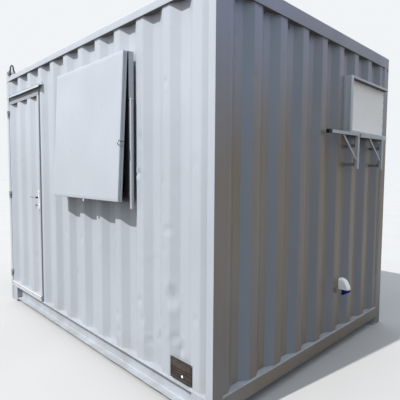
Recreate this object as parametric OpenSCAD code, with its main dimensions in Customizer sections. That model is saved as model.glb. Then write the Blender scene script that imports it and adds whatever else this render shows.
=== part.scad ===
// Shipping container cabin: a short steel container made into a site cabin.
// +X runs along the long side, the door and the window flap face -Y, +Z is up.
// The origin is on the ground at the centre of the footprint of the corner posts.

/* [Body] */
// Length over the corner posts
body_l = 3315; // [3000:5:4200]
// Width over the corner posts
body_w = 2438; // [2200:2:2800]
// Height of the end headers' top above the ground
body_h = 2607; // [2500:1:2900]

/* [Frame] */
// Width of a corner post on the long sides
post_x = 57; // [54:1:70]
// Width of a corner post on the end sides
post_y = 89; // [80:1:110]
// Steel thickness of posts, rails and headers
frame_t = 4; // [3:0.5:6]
// Length of a foot block along the long side
foot_x = 178; // [120:1:220]
// Thickness of the plate under each foot block
foot_plate_t = 10; // [6:1:16]
// How far the foot plate reaches past the foot block, inwards
foot_plate_reach = 40; // [10:1:80]
// Height of an end header
header_h = 97; // [80:1:120]
// Depth of headers, side rails and bottom rails, measured inwards
rail_d = 60; // [56:1:80]
// Height of a side top rail
side_rail_h = 54; // [40:1:70]
// Height of the side top rails' top under the headers' top
side_rail_drop = 34; // [26:1:50]
// Height of the bottom rails' top above the ground
sill_top = 172; // [160:1:220]
// Height of a long bottom channel
channel_h = 137; // [100:1:150]
// Flange thickness of a long bottom channel
channel_t = 6; // [4:0.5:8]
// Height of an end bottom rail
end_sill_h = 98; // [80:1:120]

/* [Corrugated sheet] */
// How far the crests lie behind the face of the posts
sheet_inset = 20; // [12:1:24]
// Depth of the corrugation
sheet_depth = 30; // [20:1:32]
// Sheet thickness
sheet_t = 2; // [1.5:0.1:3]
// Pitch of the corrugation on the long walls and the roof
pitch = 280; // [264:1:300]
// Pitch of the corrugation on the end walls
end_pitch = 274; // [264:1:300]
// Width of the outer flat
crest_w = 72; // [50:1:90]
// Width of one slope
slope_w = 68; // [50:1:80]
// Distance from the right end to the left edge of the last outer flat of the long walls
last_crest = 193.5; // [130:0.5:300]
// Left edge of one outer flat of the end walls, from the body's centre
end_crest = 228; // [120:1:330]
// Depth of the roof's corrugation
roof_depth = 18; // [10:1:20]

/* [Floor and lining] */
// Thickness of the floor boards
deck_t = 28; // [18:1:35]
// Height of a floor beam
beam_h = 80; // [50:1:100]
// Width of a floor beam
beam_w = 50; // [40:1:60]
// Number of floor beams
beam_n = 6; // [4:1:8]
// Thickness of the lining boards
lining_t = 9; // [6:1:12]
// Distance from the side rails' lower edge down to the ceiling
ceiling_drop = 79; // [40:1:110]
// Joint between two lining boards
board_joint = 2; // [1:0.5:3]
// Distance from an end face of the body to the back of its lining
end_lining_x = 80; // [76:1:120]

/* [Door] */
// Width of the doorway between the corner post and the wall
door_w = 857; // [820:1:960]
// Height of the wall over the doorway
over_door = 217; // [190:1:300]
// How far the stop on the lock side reaches behind the door leaf
stop_lap = 6; // [4:0.5:7]
// Width of the doorway's stop on the hinge side and at the top
stop_w = 40; // [36:1:50]
// Thickness of the plates that line the doorway
reveal_t = 6; // [4:1:8]
// Gap between the door leaf and the post it hangs on
leaf_gap_hinge = 10; // [8:0.5:14]
// Gap between the door leaf and the wall on the lock side
leaf_gap_lock = 13; // [12.5:0.5:20]
// Gap between the door leaf and the rail or plate over and under it
leaf_gap_z = 6; // [5:0.5:10]
// Thickness of the door leaf
leaf_t = 45; // [42:1:50]
// How far the door leaf's face lies behind the face of the posts
leaf_inset = 2; // [0:0.5:4]
// Width of the door leaf's edge members
leaf_frame_w = 38; // [34:1:50]
// Height of the door leaf's bottom member
leaf_foot_h = 52; // [40:1:80]
// Thickness of the plate along the foot of the door
kick_t = 3; // [2:0.5:4]
// Height of the lever handle above the ground
handle_z = 1240; // [1000:1:1400]
// Distance from the door leaf's edge to the spindle
backset = 25; // [24:0.5:30]
// Length of the lever
lever_l = 110; // [80:1:140]
// Projection of the drip cap over the door
cap_out = 15; // [10:1:60]
// How far the drip cap reaches past the doorway on the lock side
cap_over = 110; // [60:1:200]

/* [Hinges of the door] */
// Radius of a hinge barrel
hinge_r = 10; // [8:0.5:12]
// Radius of a hinge pin
hinge_pin_r = 5; // [4:0.5:6]
// Half of the length of a hinge
hinge_half = 38; // [30:1:50]
// Distance of the hinge line in front of the posts
hinge_out = 12; // [11:0.5:16]
// Distance from the door leaf's foot to the lowest hinge
hinge_low = 145; // [120:1:300]
// Distance from the door leaf's top to the highest hinge
hinge_high = 141; // [120:1:300]

/* [Window] */
// Width of the wall between the doorway and the window box
pier_w = 566.5; // [400:0.5:600]
// Width of the window box
box_w = 1035; // [1000:1:1200]
// Height of the wall over the window box
over_box = 201; // [160:1:260]
// Height of the window box
box_h = 1030; // [900:1:1060]
// Projection of the window box in front of the posts
box_out = 20; // [16:1:40]
// Width of the window box's front on three sides
box_rim = 60; // [50:1:70]
// Thickness of the window box's sheet
box_t = 3; // [2:0.5:4]
// Width of the window's own frame
pane_frame = 45; // [35:1:60]
// Thickness of the glass
glass_t = 6; // [4:1:10]

/* [Window flap] */
// Gap between the window flap's left edge and the window box's left edge
flap_left = 2; // [1:1:20]
// Gap between the window flap's right edge and the window box's right edge
flap_right = 2; // [1:1:20]
// Height of the strip that the window flap leaves open at the box's foot
flap_up = 0; // [0:1:40]
// Depth of the window flap's folded edge
flap_d = 36; // [25:1:45]
// Sheet thickness of the window flap
flap_t = 2; // [1.5:0.5:3]
// Gap between the closed window flap and the window box
flap_gap = 5; // [5:0.5:10]
// Angle at which the window flap stands open, in degrees
flap_open = 2.9; // [0:0.1:5]
// Radius of the flap's hinge barrels
flap_hinge_r = 8; // [7:0.5:10]
// Radius of the flap's hinge pins
flap_pin_r = 4; // [3:0.5:5]
// Width of the stay that props the window flap
stay_w = 18; // [16:1:24]
// Length of the stay
stay_l = 752; // [600:1:780]
// Distance from the window box's top to the stay's pivot
stay_drop = 326; // [250:1:420]
// Distance from the window flap's foot to the padlock staple
staple_up = 401; // [200:1:600]

/* [Outlet for the cooling unit] */
// Left edge of the outlet's frame, from the body's centre
ac_y0 = 345; // [200:1:420]
// Height of the wall over the outlet's frame
over_ac = 220; // [160:1:300]
// Height of the outlet's frame
ac_h = 477; // [400:1:560]
// Width of the outlet's frame bars
ac_bar = 43; // [30:1:50]
// Projection of the outlet's frame in front of the posts
ac_out = 35; // [20:1:40]
// Thickness of the board that closes the outlet
ac_board_t = 10; // [8:1:12]

/* [Folding brackets] */
// Place of the near bracket's pivot, from the body's centre
bracket_y = 425; // [380:1:460]
// Distance from one bracket's pivot to the other's
bracket_step = 504; // [495:1:540]
// Height of the brackets' top over the foot of the outlet's frame
bracket_up = 19; // [0:1:24]
// Height of a bracket
bracket_h = 295; // [250:1:350]
// Length of a bracket's arm
bracket_l = 436; // [380:1:445]
// Width of the bracket's square tube
tube_w = 25; // [20:1:28]
// Wall of the bracket's square tube
tube_t = 2; // [1.5:0.5:3]
// Distance of a bracket's pivot in front of the posts
pivot_out = 45; // [42:1:55]
// Distance from the pivot to the middle of the bracket's leg
leg_out = 27; // [26:1:30]
// Distance from a bracket's top to its upper hinge
bracket_hinge_drop = 87; // [60:1:100]
// Distance from a bracket's upper hinge to its lower one
bracket_hinge_step = 155; // [100:1:170]
// Angle between a folded bracket and the wall, in degrees
fold_tilt = 5.7; // [4:0.1:6]
// Height of the brace's foot under the bracket's top
brace_h = 232; // [150:1:240]
// Length along the arm to the brace's head
brace_l = 235; // [150:1:300]
// Length of the plastic cap on an arm's end
tip_cap_l = 35; // [20:1:40]

/* [Power inlet] */
// How far the inlet's housing laps onto the crest that carries it
inlet_lap = 4; // [3:0.5:20]
// Width of the inlet's housing
inlet_w = 84; // [80:1:120]
// Lowest edge of the inlet's housing above the ground
inlet_z = 521; // [300:1:900]
// Height of the inlet's housing
inlet_h = 84; // [80:1:130]
// Depth of the inlet's housing at its foot
inlet_d = 86; // [70:1:110]
// Radius of the inlet's socket
socket_r = 33; // [28:1:38]

/* [Plate and lifting lugs] */
// Distance from the right end to the bare plate on the long wall
plate_gap = 181.5; // [140:0.5:300]
// Width of the bare plate
plate_w = 205; // [120:1:212]
// Lowest edge of the bare plate above the ground
plate_z = 187; // [180:1:400]
// Height of the bare plate
plate_h = 136; // [100:1:200]
// Distance from the end of the body to a lifting lug
lug_x = 115; // [105:1:160]
// Thickness of a lifting lug
lug_t = 25; // [18:1:28]
// Radius of a lifting lug's round head
lug_r = 28; // [26:1:38]
// Height of the lug's eye above the side rail
lug_eye_h = 26; // [24:1:40]
// Radius of the shackle's bow bar
bow_bar_r = 9.5; // [8:0.5:11]
// Radius of the shackle's pin
bow_pin_r = 11; // [9:0.5:12]
// Clear width between the shackle's ears
bow_gap = 31; // [31:0.5:36]
// Height from the shackle's pin to the middle of its bow
bow_h = 66; // [50:1:70]

/* [Hidden] */

x0 = -body_l/2;
x1 = body_l/2;
y0 = -body_w/2;
y1 = body_w/2;
running_gap = 0.06;
paint = "#d4d9de";
steel = "#9aa0a6";
timber = "#c8b48e";
round_fn = 48;

header_z0 = body_h - header_h;
side_rail_top = body_h - side_rail_drop;
side_rail_z0 = side_rail_top - side_rail_h;
long_crest = x1 - last_crest;
ceiling_z = side_rail_z0 - ceiling_drop;
floor_z = sill_top + deck_t;

door_x0 = x0 + post_x;
door_x1 = door_x0 + door_w;
door_top = side_rail_z0 - over_door;
leaf_x0 = door_x0 + leaf_gap_hinge;
leaf_x1 = door_x1 - leaf_gap_lock;
leaf_z0 = sill_top + leaf_gap_z;
leaf_z1 = door_top - reveal_t - leaf_gap_z;
leaf_y0 = y0 + leaf_inset;
leaf_y1 = leaf_y0 + leaf_t;
leaf_tube_t = 2;
skin_inset = 2;
stop_lock_w = leaf_gap_lock + stop_lap;
hinge_x = door_x0 + 2.5;
hinge_y = y0 - hinge_out;
hinge_z0 = leaf_z0 + hinge_low;
hinge_step = (leaf_z1 - hinge_high - hinge_z0)/2;
handle_x = leaf_x1 - backset;
spindle_r = 6;
spindle_play = 2;
lever_r = 7.5;
lever_out = 50;
lock_plate_t = 6;
lock_plate_w = 36;
lock_plate_h = 190;
key_drop = 78;
cylinder_out = 6;

box_x0 = door_x1 + pier_w;
box_x1 = box_x0 + box_w;
box_z1 = side_rail_z0 - over_box;
box_z0 = box_z1 - box_h;
flap_x0 = box_x0 + flap_left;
flap_x1 = box_x1 - flap_right;
flap_w = flap_x1 - flap_x0;
// The hole in the wall behind the window box
hole_x0 = box_x0 + box_rim - box_t;
hole_x1 = box_x1 - box_rim + box_t;
hole_z0 = box_z0 + box_rim - box_t;
hole_z1 = box_z1 - box_rim + box_t;
glass_x0 = box_x0 + box_rim;
glass_x1 = box_x1 - box_rim;
glass_z0 = box_z0 + box_rim;
glass_z1 = box_z1 - box_rim;
pane_y = y0 + sheet_inset;
pane_d = 50;
flap_z1 = box_z1 - 4;
flap_z0 = box_z0 + flap_up;
flap_h = flap_z1 - flap_z0;
flap_axis_y = y0 - box_out - flap_gap;
flap_axis_z = box_z1 + flap_hinge_r;
flap_back_y = y0 - box_out - flap_gap;
flap_front_y = flap_back_y - flap_d;
flap_hinge_l = 40;
staple_z = flap_z0 + staple_up;
staple_r = 4;
staple_bend = 16;
staple_out = 4;
// The stay passes beside the staple on the flap
stay_x = flap_x1 + 2*staple_r + 4.5;
stay_y = y0 - 12;
stay_z = box_z1 - stay_drop;
stay_pin_r = 5;

ac_y1 = y1 - post_y;
ac_z1 = header_z0 - over_ac;
ac_z0 = ac_z1 - ac_h;
bracket_z = ac_z0 + bracket_up;
ac_foot_out = 4;
pivot_x = x1 + pivot_out;
barrel_r = 9;
barrel_half = 30;
barrel_pin_r = 4.5;
bracket_hinge_z = [
  bracket_z - bracket_hinge_drop, bracket_z - bracket_hinge_drop - bracket_hinge_step];
hinge_plate_t = 6;
hinge_plate_h = 46;

inlet_y = end_crest + crest_w - inlet_lap;
socket_x = x1 - sheet_inset + inlet_d/2 + 4;
socket_in = 30;

lug_y = 25;
roof_gap = 5;
bow_pin_l = 96;
ear_half = bow_bar_r + 1;
eye_z = side_rail_top + lug_eye_h;
// A low flat of the roof lies under the shackle
roof_crest = x0 + lug_x - (pitch + crest_w)/2;
plate_x = x1 - plate_gap - plate_w;
eye_play = 1.5;
// The pin hangs low in the eye, nearly on its lower side
pin_z = eye_z - eye_play + 0.3;

// Depth of the corrugated face behind its crests, at a distance u past a crest's left edge
function fall(u, p, depth) =
  u < crest_w ? 0 :
  u < crest_w + slope_w ? depth*(u - crest_w)/slope_w :
  u < p - slope_w ? depth :
  depth*(p - u)/slope_w;

function sheet_at(x, start, p, depth) = fall((x - start) - p*floor((x - start)/p), p, depth);

// Corner points of a corrugated face from a to b, with a crest that starts at start
function bends(a, b, start, p) = concat(
  [a],
  [for (n = [floor((a - start)/p) : ceil((b - start)/p)])
    for (step = [0, crest_w, crest_w + slope_w, p - slope_w])
      let (x = start + n*p + step)
        if (x > a + 0.5 && x < b - 0.5) x],
  [b]);

// Section of a corrugated sheet; its crests are on y = 0 and it goes back towards +Y
module profile(a, b, start, p, depth) {
  xs = bends(a, b, start, p);
  last = len(xs) - 1;
  polygon(concat(
    [for (x = xs) [x, sheet_at(x, start, p, depth)]],
    [for (i = [0 : last]) [xs[last - i], sheet_at(xs[last - i], start, p, depth) + sheet_t]]));
}

module front_sheet(a, b, z_low, z_high)
  translate([0, y0 + sheet_inset, z_low])
    linear_extrude(z_high - z_low) profile(a, b, long_crest, pitch, sheet_depth);

module right_sheet(a, b, z_low, z_high)
  translate([x1 - sheet_inset, 0, z_low])
    rotate([0, 0, 90])
      linear_extrude(z_high - z_low) profile(a, b, end_crest, end_pitch, sheet_depth);

// A block given by its lowest and highest corners
module block(low, high) translate(low) cube(high - low);

// A closed hollow bar with the same wall on every side
module hollow(low, high, wall)
  difference() {
    block(low, high);
    block(low + [wall, wall, wall], high - [wall, wall, wall]);
  }

// Children drawn with +X and +Y pointing inwards from a corner of the footprint
module at_corner(sx, sy)
  translate([sx*body_l/2, sy*body_w/2, 0])
    mirror([sx > 0 ? 1 : 0, 0, 0])
      mirror([0, sy > 0 ? 1 : 0, 0])
        children();

module rod_x(length, r) rotate([0, 90, 0]) cylinder(h = length, r = r, $fn = round_fn);
module rod_y(length, r) rotate([-90, 0, 0]) cylinder(h = length, r = r, $fn = round_fn);

module corner_posts()
  color(paint)
    for (sx = [-1, 1], sy = [-1, 1])
      at_corner(sx, sy) {
        hollow([0, 0, foot_plate_t], [post_x, post_y, header_z0], frame_t);
        hollow([0, 0, foot_plate_t], [foot_x, post_y, sill_top], frame_t);
        block([0, 0, 0], [foot_x, post_y + foot_plate_reach, foot_plate_t]);
      }

module side_top_rails()
  color(paint)
    for (sy = [-1, 1])
      at_corner(-1, sy)
        hollow([post_x, 0, side_rail_z0], [body_l - post_x, rail_d, side_rail_top], frame_t);

module end_headers()
  color(paint)
    for (sx = [-1, 1])
      at_corner(sx, -1)
        hollow([0, 0, header_z0], [post_x, body_w, body_h], frame_t);

module bottom_channels()
  color(paint)
    for (sy = [-1, 1])
      at_corner(-1, sy)
        difference() {
          block([foot_x, 0, sill_top - channel_h], [body_l - foot_x, rail_d, sill_top]);
          block(
            [foot_x - 1, -1, sill_top - channel_h + channel_t],
            [body_l - foot_x + 1, rail_d - channel_t, sill_top - channel_t]);
        }

module end_bottom_rails()
  color(paint)
    for (sx = [-1, 1])
      at_corner(sx, -1)
        hollow([0, post_y, sill_top - end_sill_h], [rail_d, body_w - post_y, sill_top], frame_t);

module floor_beams() {
  step = (body_l - 2*foot_x - beam_w)/(beam_n - 1);
  color(steel)
    for (n = [0 : beam_n - 1])
      translate([x0 + foot_x + n*step, 0, 0])
        hollow(
          [0, y0 + rail_d, sill_top - beam_h],
          [beam_w, y1 - rail_d, sill_top],
          frame_t);
}

module floor_boards()
  color(timber)
    block([x0 + rail_d, y0 + rail_d, sill_top], [x1 - rail_d, y1 - rail_d, floor_z]);

module roof_sheet() {
  edge = lug_y + lug_t/2 + roof_gap;
  color(paint)
    translate([0, y1 - edge, side_rail_top + roof_depth + sheet_t])
      rotate([90, 0, 0])
        linear_extrude(body_w - 2*edge)
          mirror([0, 1, 0])
            profile(x0 + post_x, x1 - post_x, roof_crest, pitch, roof_depth);
}

module front_wall_over_door()
  color(paint) front_sheet(door_x0, door_x1, door_top, side_rail_z0);

module front_wall_pier()
  color(paint) front_sheet(door_x1, hole_x0, sill_top, side_rail_z0);

module front_wall_window_bay()
  color(paint) {
    front_sheet(hole_x0, hole_x1, sill_top, hole_z0);
    front_sheet(hole_x0, hole_x1, hole_z1, side_rail_z0);
  }

module front_wall_right()
  color(paint) front_sheet(hole_x1, x1 - post_x, sill_top, side_rail_z0);

module rear_wall()
  color(paint)
    mirror([0, 1, 0]) front_sheet(x0 + post_x, x1 - post_x, sill_top, side_rail_z0);

module left_wall()
  color(paint)
    mirror([1, 0, 0]) right_sheet(y0 + post_y, y1 - post_y, sill_top, header_z0);

module right_wall()
  color(paint) right_sheet(y0 + post_y, ac_y0, sill_top, header_z0);

module right_wall_outlet_bay()
  color(paint) {
    right_sheet(ac_y0, ac_y1, sill_top, ac_z0);
    right_sheet(ac_y0, ac_y1, ac_z1, header_z0);
  }

// Lining board of a long side, with its back against the posts
module long_board(a, b, z_low, z_high)
  block([a, y0 + post_y, z_low], [b, y0 + post_y + lining_t, z_high]);

module front_lining() {
  left = x0 + end_lining_x;
  right = x1 - end_lining_x;
  door_in = door_x1 - stop_lock_w;
  win_l = glass_x0 - box_t;
  win_r = glass_x1 + box_t;
  color("white") {
    long_board(left, door_x0 + stop_w, floor_z, door_top - stop_w - board_joint);
    long_board(left, door_in - board_joint, door_top - stop_w, ceiling_z);
    long_board(door_in, win_l - board_joint, floor_z, ceiling_z);
    long_board(win_l, win_r, floor_z, glass_z0 - box_t);
    long_board(win_l, win_r, glass_z1 + box_t, ceiling_z);
    long_board(win_r + board_joint, right, floor_z, ceiling_z);
  }
}

module rear_lining()
  color("white")
    mirror([0, 1, 0]) long_board(x0 + end_lining_x, x1 - end_lining_x, floor_z, ceiling_z);

// Lining board of the right end, between the two long linings
module end_board(a, b, z_low, z_high)
  block([x1 - end_lining_x - lining_t, a, z_low], [x1 - end_lining_x, b, z_high]);

module left_lining()
  color("white")
    mirror([1, 0, 0])
      end_board(y0 + post_y + lining_t, y1 - post_y - lining_t, floor_z, ceiling_z);

module right_lining() {
  near = y0 + post_y + lining_t;
  far = y1 - post_y - lining_t;
  color("white") {
    end_board(near, ac_y0 + ac_bar - board_joint, floor_z, ceiling_z);
    end_board(ac_y0 + ac_bar, far, floor_z, ac_z0 + ac_bar);
    end_board(ac_y0 + ac_bar, far, ac_z1 - ac_bar, ceiling_z);
  }
}

module ceiling()
  color("white")
    block(
      [x0 + end_lining_x, y0 + post_y, ceiling_z],
      [x1 - end_lining_x, y1 - post_y, ceiling_z + lining_t]);

module door_frame() {
  front = y0 + sheet_inset;
  mid = y0 + rail_d;
  back = y0 + post_y;
  color(paint) {
    block([door_x0, mid, floor_z], [door_x0 + stop_w, back, door_top]);
    block([door_x1 - stop_lock_w, mid, floor_z], [door_x1, back, door_top]);
    block([door_x0, mid, door_top - stop_w], [door_x1, back, door_top]);
    block([door_x1 - reveal_t, front, sill_top], [door_x1, mid, door_top]);
    block([door_x0, front, door_top - reveal_t], [door_x1, mid, door_top]);
  }
}

module door_leaf()
  color(paint)
    difference() {
      block([leaf_x0, leaf_y0, leaf_z0], [leaf_x1, leaf_y1, leaf_z1]);
      block(
        [leaf_x0 + leaf_frame_w, leaf_y0 - 1, leaf_z0 + leaf_foot_h],
        [leaf_x1 - leaf_frame_w, leaf_y1 + 1, leaf_z1 - leaf_frame_w]);
      // The edge members are hollow
      for (x = [leaf_x0, leaf_x1 - leaf_frame_w])
        block(
          [x + leaf_tube_t, leaf_y0 + leaf_tube_t, leaf_z0 + leaf_foot_h],
          [x + leaf_frame_w - leaf_tube_t, leaf_y1 - leaf_tube_t, leaf_z1 - leaf_frame_w]);
      translate([handle_x, leaf_y0 - 1, handle_z])
        rod_y(leaf_t + 2, spindle_r + spindle_play);
    }

module door_skin()
  color(paint)
    translate([0, leaf_y0 + skin_inset, leaf_z0 + leaf_foot_h])
      linear_extrude(leaf_z1 - leaf_z0 - leaf_foot_h - leaf_frame_w)
        profile(
          leaf_x0 + leaf_frame_w, leaf_x1 - leaf_frame_w, long_crest, pitch, sheet_depth);

module door_inner_board()
  color("white")
    block(
      [leaf_x0 + leaf_frame_w, leaf_y1 - 5, leaf_z0 + leaf_foot_h],
      [leaf_x1 - leaf_frame_w, leaf_y1, leaf_z1 - leaf_frame_w]);

module door_kick_plate()
  color(steel)
    block(
      [leaf_x0 + 4, leaf_y0 - kick_t, leaf_z0 + 2],
      [leaf_x1 - 4, leaf_y0, leaf_z0 + leaf_foot_h - 2]);

// Plate around the spindle with the key cylinder under it; side is 1 outside, -1 inside
module lock_plate() {
  difference() {
    block(
      [handle_x - lock_plate_w/2, -lock_plate_t, handle_z - lock_plate_h*0.62],
      [handle_x + lock_plate_w/2, 0, handle_z + lock_plate_h*0.38]);
    translate([handle_x, -lock_plate_t - 1, handle_z])
      rod_y(lock_plate_t + 2, spindle_r + running_gap);
  }
  translate([handle_x, -lock_plate_t - cylinder_out, handle_z - key_drop]) rod_y(cylinder_out, 9);
}

module door_lock()
  color("silver") {
    translate([0, leaf_y0, 0]) lock_plate();
    translate([0, leaf_y1, 0]) mirror([0, 1, 0]) lock_plate();
  }

module door_handle()
  color("silver") {
    translate([handle_x, leaf_y0 - lever_out, handle_z]) rod_y(leaf_t + 2*lever_out, spindle_r);
    for (y = [leaf_y0 - lever_out, leaf_y1 + lever_out])
      translate([handle_x - lever_l, y, handle_z]) {
        rod_x(lever_l, lever_r);
        sphere(r = lever_r, $fn = 24);
        translate([lever_l, 0, 0]) sphere(r = lever_r, $fn = 24);
      }
  }

// One hinge is two barrel halves on a pin; the lower half stays on the post
module hinge_butts()
  color(steel)
    for (n = [0 : 2])
      translate([hinge_x, hinge_y, hinge_z0 + n*hinge_step]) {
        translate([0, 0, -hinge_half]) cylinder(h = hinge_half - 0.5, r = hinge_r, $fn = round_fn);
        translate([0, 0, -0.6]) cylinder(h = 30, r = hinge_pin_r, $fn = round_fn);
        block([-18, -3, -hinge_half + 3], [0, 3, -4]);
        block([-18, -3, -hinge_half + 3], [-6, hinge_out, -4]);
      }

module hinge_leaves()
  color(steel)
    for (n = [0 : 2])
      translate([hinge_x, hinge_y, hinge_z0 + n*hinge_step])
        difference() {
          union() {
            translate([0, 0, 0.5])
              cylinder(h = hinge_half - 0.5, r = hinge_r, $fn = round_fn);
            block([0, -3, 4], [24, 3, hinge_half - 3]);
            block([leaf_x0 - hinge_x + 1, -3, 4], [24, hinge_out + leaf_inset, hinge_half - 3]);
          }
          translate([0, 0, -1]) cylinder(h = 32, r = hinge_pin_r + running_gap, $fn = round_fn);
        }

module drip_cap()
  color(paint)
    translate([door_x0, 0, 0])
      rotate([90, 0, 90])
        linear_extrude(door_w + cap_over)
          polygon([
            [y0 + sheet_inset, door_top + 60], [y0 + sheet_inset - 3, door_top + 60],
            [y0 + sheet_inset - 3, door_top + 43], [y0 - cap_out, door_top + 34],
            [y0 - cap_out, door_top + 26], [y0 - cap_out + 3, door_top + 26],
            [y0 - cap_out + 3, door_top + 31], [y0 + sheet_inset, door_top + 39]]);

// Ring on the window box's outline, from depth a to depth b behind the posts' face
module box_ring(a, b, out_margin, in_margin)
  difference() {
    block(
      [box_x0 + out_margin, y0 + a, box_z0 + out_margin],
      [box_x1 - out_margin, y0 + b, box_z1 - out_margin]);
    block(
      [box_x0 + in_margin, y0 + a - 1, box_z0 + in_margin],
      [box_x1 - in_margin, y0 + b + 1, box_z1 - in_margin]);
  }

module window_box()
  color(paint) {
    // A hollow bar on the crests of the wall, and the plates that line the hole
    box_ring(-box_out, -box_out + box_t, 0, box_rim);
    box_ring(-box_out, sheet_inset, 0, box_t);
    box_ring(sheet_inset - box_t, sheet_inset, 0, box_rim);
    box_ring(-box_out, post_y + lining_t, box_rim - box_t, box_rim);
    // Lugs and pins of the flap's two hinges
    for (x = [flap_x0 + 0.18*flap_w, flap_x0 + 0.82*flap_w])
      translate([x, flap_axis_y, flap_axis_z]) {
        translate([-flap_hinge_l, 0, 0]) rod_x(flap_hinge_l - 0.5, flap_hinge_r);
        translate([-1, 0, 0]) rod_x(flap_hinge_l - 1, flap_pin_r);
        block([-flap_hinge_l, 0, -flap_hinge_r], [-4, 14, -1]);
      }
    // Pin of the stay, with its head
    translate([box_x1 - 1, stay_y, stay_z]) {
      rod_x(stay_x - box_x1, stay_pin_r + 3);
      rod_x(stay_x - box_x1 + stay_w + 5, stay_pin_r);
      translate([stay_x - box_x1 + stay_w + 2, 0, 0]) rod_x(5, stay_pin_r + 3);
    }
  }

module window_frame()
  color("gainsboro")
    difference() {
      block([glass_x0, pane_y, glass_z0], [glass_x1, pane_y + pane_d, glass_z1]);
      for (side = [0, 1])
        let (half = (glass_x1 - glass_x0 - 3*pane_frame)/2,
             a = glass_x0 + pane_frame + side*(half + pane_frame))
          block(
            [a, pane_y - 1, glass_z0 + pane_frame],
            [a + half, pane_y + pane_d + 1, glass_z1 - pane_frame]);
    }

module window_glass() {
  half = (glass_x1 - glass_x0 - 3*pane_frame)/2;
  mid = pane_y + pane_d/2;
  color("lightblue", 0.4)
    for (side = [0, 1])
      let (a = glass_x0 + pane_frame + side*(half + pane_frame))
        block(
          [a, mid - glass_t/2, glass_z0 + pane_frame],
          [a + half, mid + glass_t/2, glass_z1 - pane_frame]);
}

// Bent round bar for the padlock, standing out in front of the flap's right edge
module staple()
  translate([flap_x1 + staple_r - 0.5, flap_front_y, staple_z]) {
    for (z = [-staple_bend, staple_bend])
      translate([0, -staple_out, z]) rod_y(staple_out + flap_d - 6, staple_r);
    translate([0, -staple_out, 0])
      rotate([0, 0, 180])
        rotate([0, 90, 0])
          rotate_extrude(angle = 180, $fn = round_fn)
            translate([staple_bend, 0]) circle(r = staple_r, $fn = 24);
  }

module flap_closed() {
  difference() {
    block([flap_x0, flap_front_y, flap_z0], [flap_x1, flap_back_y, flap_z1]);
    block(
      [flap_x0 + flap_t, flap_front_y + flap_t, flap_z0 + flap_t],
      [flap_x1 - flap_t, flap_back_y + 1, flap_z1 - flap_t]);
  }
  difference() {
    for (x = [flap_x0 + 0.18*flap_w, flap_x0 + 0.82*flap_w])
      translate([x, flap_axis_y, flap_axis_z]) {
        translate([0.5, 0, 0]) rod_x(flap_hinge_l - 0.5, flap_hinge_r);
        block([4, -24, 1], [flap_hinge_l, 0, flap_hinge_r - 1]);
        block([4, -24, flap_z1 - flap_axis_z - 1], [flap_hinge_l, -16, flap_hinge_r - 1]);
      }
    translate([flap_x0, flap_axis_y, flap_axis_z]) rod_x(flap_w, flap_pin_r + running_gap);
  }
  staple();
}

module window_flap()
  color(paint)
    translate([0, flap_axis_y, flap_axis_z])
      rotate([-flap_open, 0, 0])
        translate([0, -flap_axis_y, -flap_axis_z])
          flap_closed();

module flap_stay()
  color(paint)
    difference() {
      union() {
        block(
          [stay_x, stay_y - stay_w/2, stay_z - stay_l],
          [stay_x + stay_w, stay_y + stay_w/2, stay_z]);
        translate([stay_x, stay_y, stay_z]) rod_x(stay_w, stay_w/2);
      }
      translate([stay_x - 1, stay_y, stay_z]) rod_x(stay_w + 2, stay_pin_r + running_gap);
    }

module outlet_frame() {
  back = x1 - end_lining_x;
  face = x1 + ac_out;
  groove = 4;
  color(paint)
    difference() {
      block([back, ac_y0, ac_z0], [face, ac_y1, ac_z1]);
      block([back - 1, ac_y0 + ac_bar, ac_z0 + ac_bar], [face + 1, ac_y1 + 1, ac_z1 - ac_bar]);
      // The lowest bar lies nearly flush, behind the folded brackets
      block([x1 + ac_foot_out, ac_y0 + ac_bar, ac_z0 - 1], [face + 1, ac_y1 + 1, ac_z0 + ac_bar + 1]);
      // A groove runs up the outer side of the left bar
      block([x1 - 8, ac_y0 - 1, ac_z0 - 1], [x1 + 8, ac_y0 + 10, ac_z1 - groove]);
      // The upper and the left bar are channels, open to the outside
      block(
        [x1 + 12, ac_y0 + groove, ac_z0 + groove],
        [face + 1, ac_y0 + ac_bar - groove, ac_z1 - groove]);
      block(
        [x1 + 12, ac_y0 + groove, ac_z1 - ac_bar + groove],
        [face + 1, ac_y1 + 1, ac_z1 - groove]);
    }
}

module outlet_board()
  color("whitesmoke")
    block(
      [x1 - 4 - ac_board_t, ac_y0 + ac_bar, ac_z0 + ac_bar],
      [x1 - 4, ac_y1, ac_z1 - ac_bar]);

// Lower halves and pins of the brackets' hinges, on plates welded to the wall's inner flats
module bracket_hinges()
  color(steel)
    for (y = [bracket_y, bracket_y + bracket_step], z = bracket_hinge_z)
      let (wall_x = x1 - sheet_inset - sheet_at(y, end_crest, end_pitch, sheet_depth)) {
        translate([pivot_x, y, z]) {
          translate([0, 0, -barrel_half])
            cylinder(h = barrel_half - 0.5, r = barrel_r, $fn = round_fn);
          translate([0, 0, -0.6]) cylinder(h = 26, r = barrel_pin_r, $fn = round_fn);
        }
        block([wall_x + hinge_plate_t - 1, y - 5, z - barrel_half + 3], [pivot_x, y + 5, z - 4]);
        block(
          [wall_x, y - 8, z - barrel_half - 8],
          [wall_x + hinge_plate_t, y + 8, z - barrel_half - 8 + hinge_plate_h]);
      }

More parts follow.
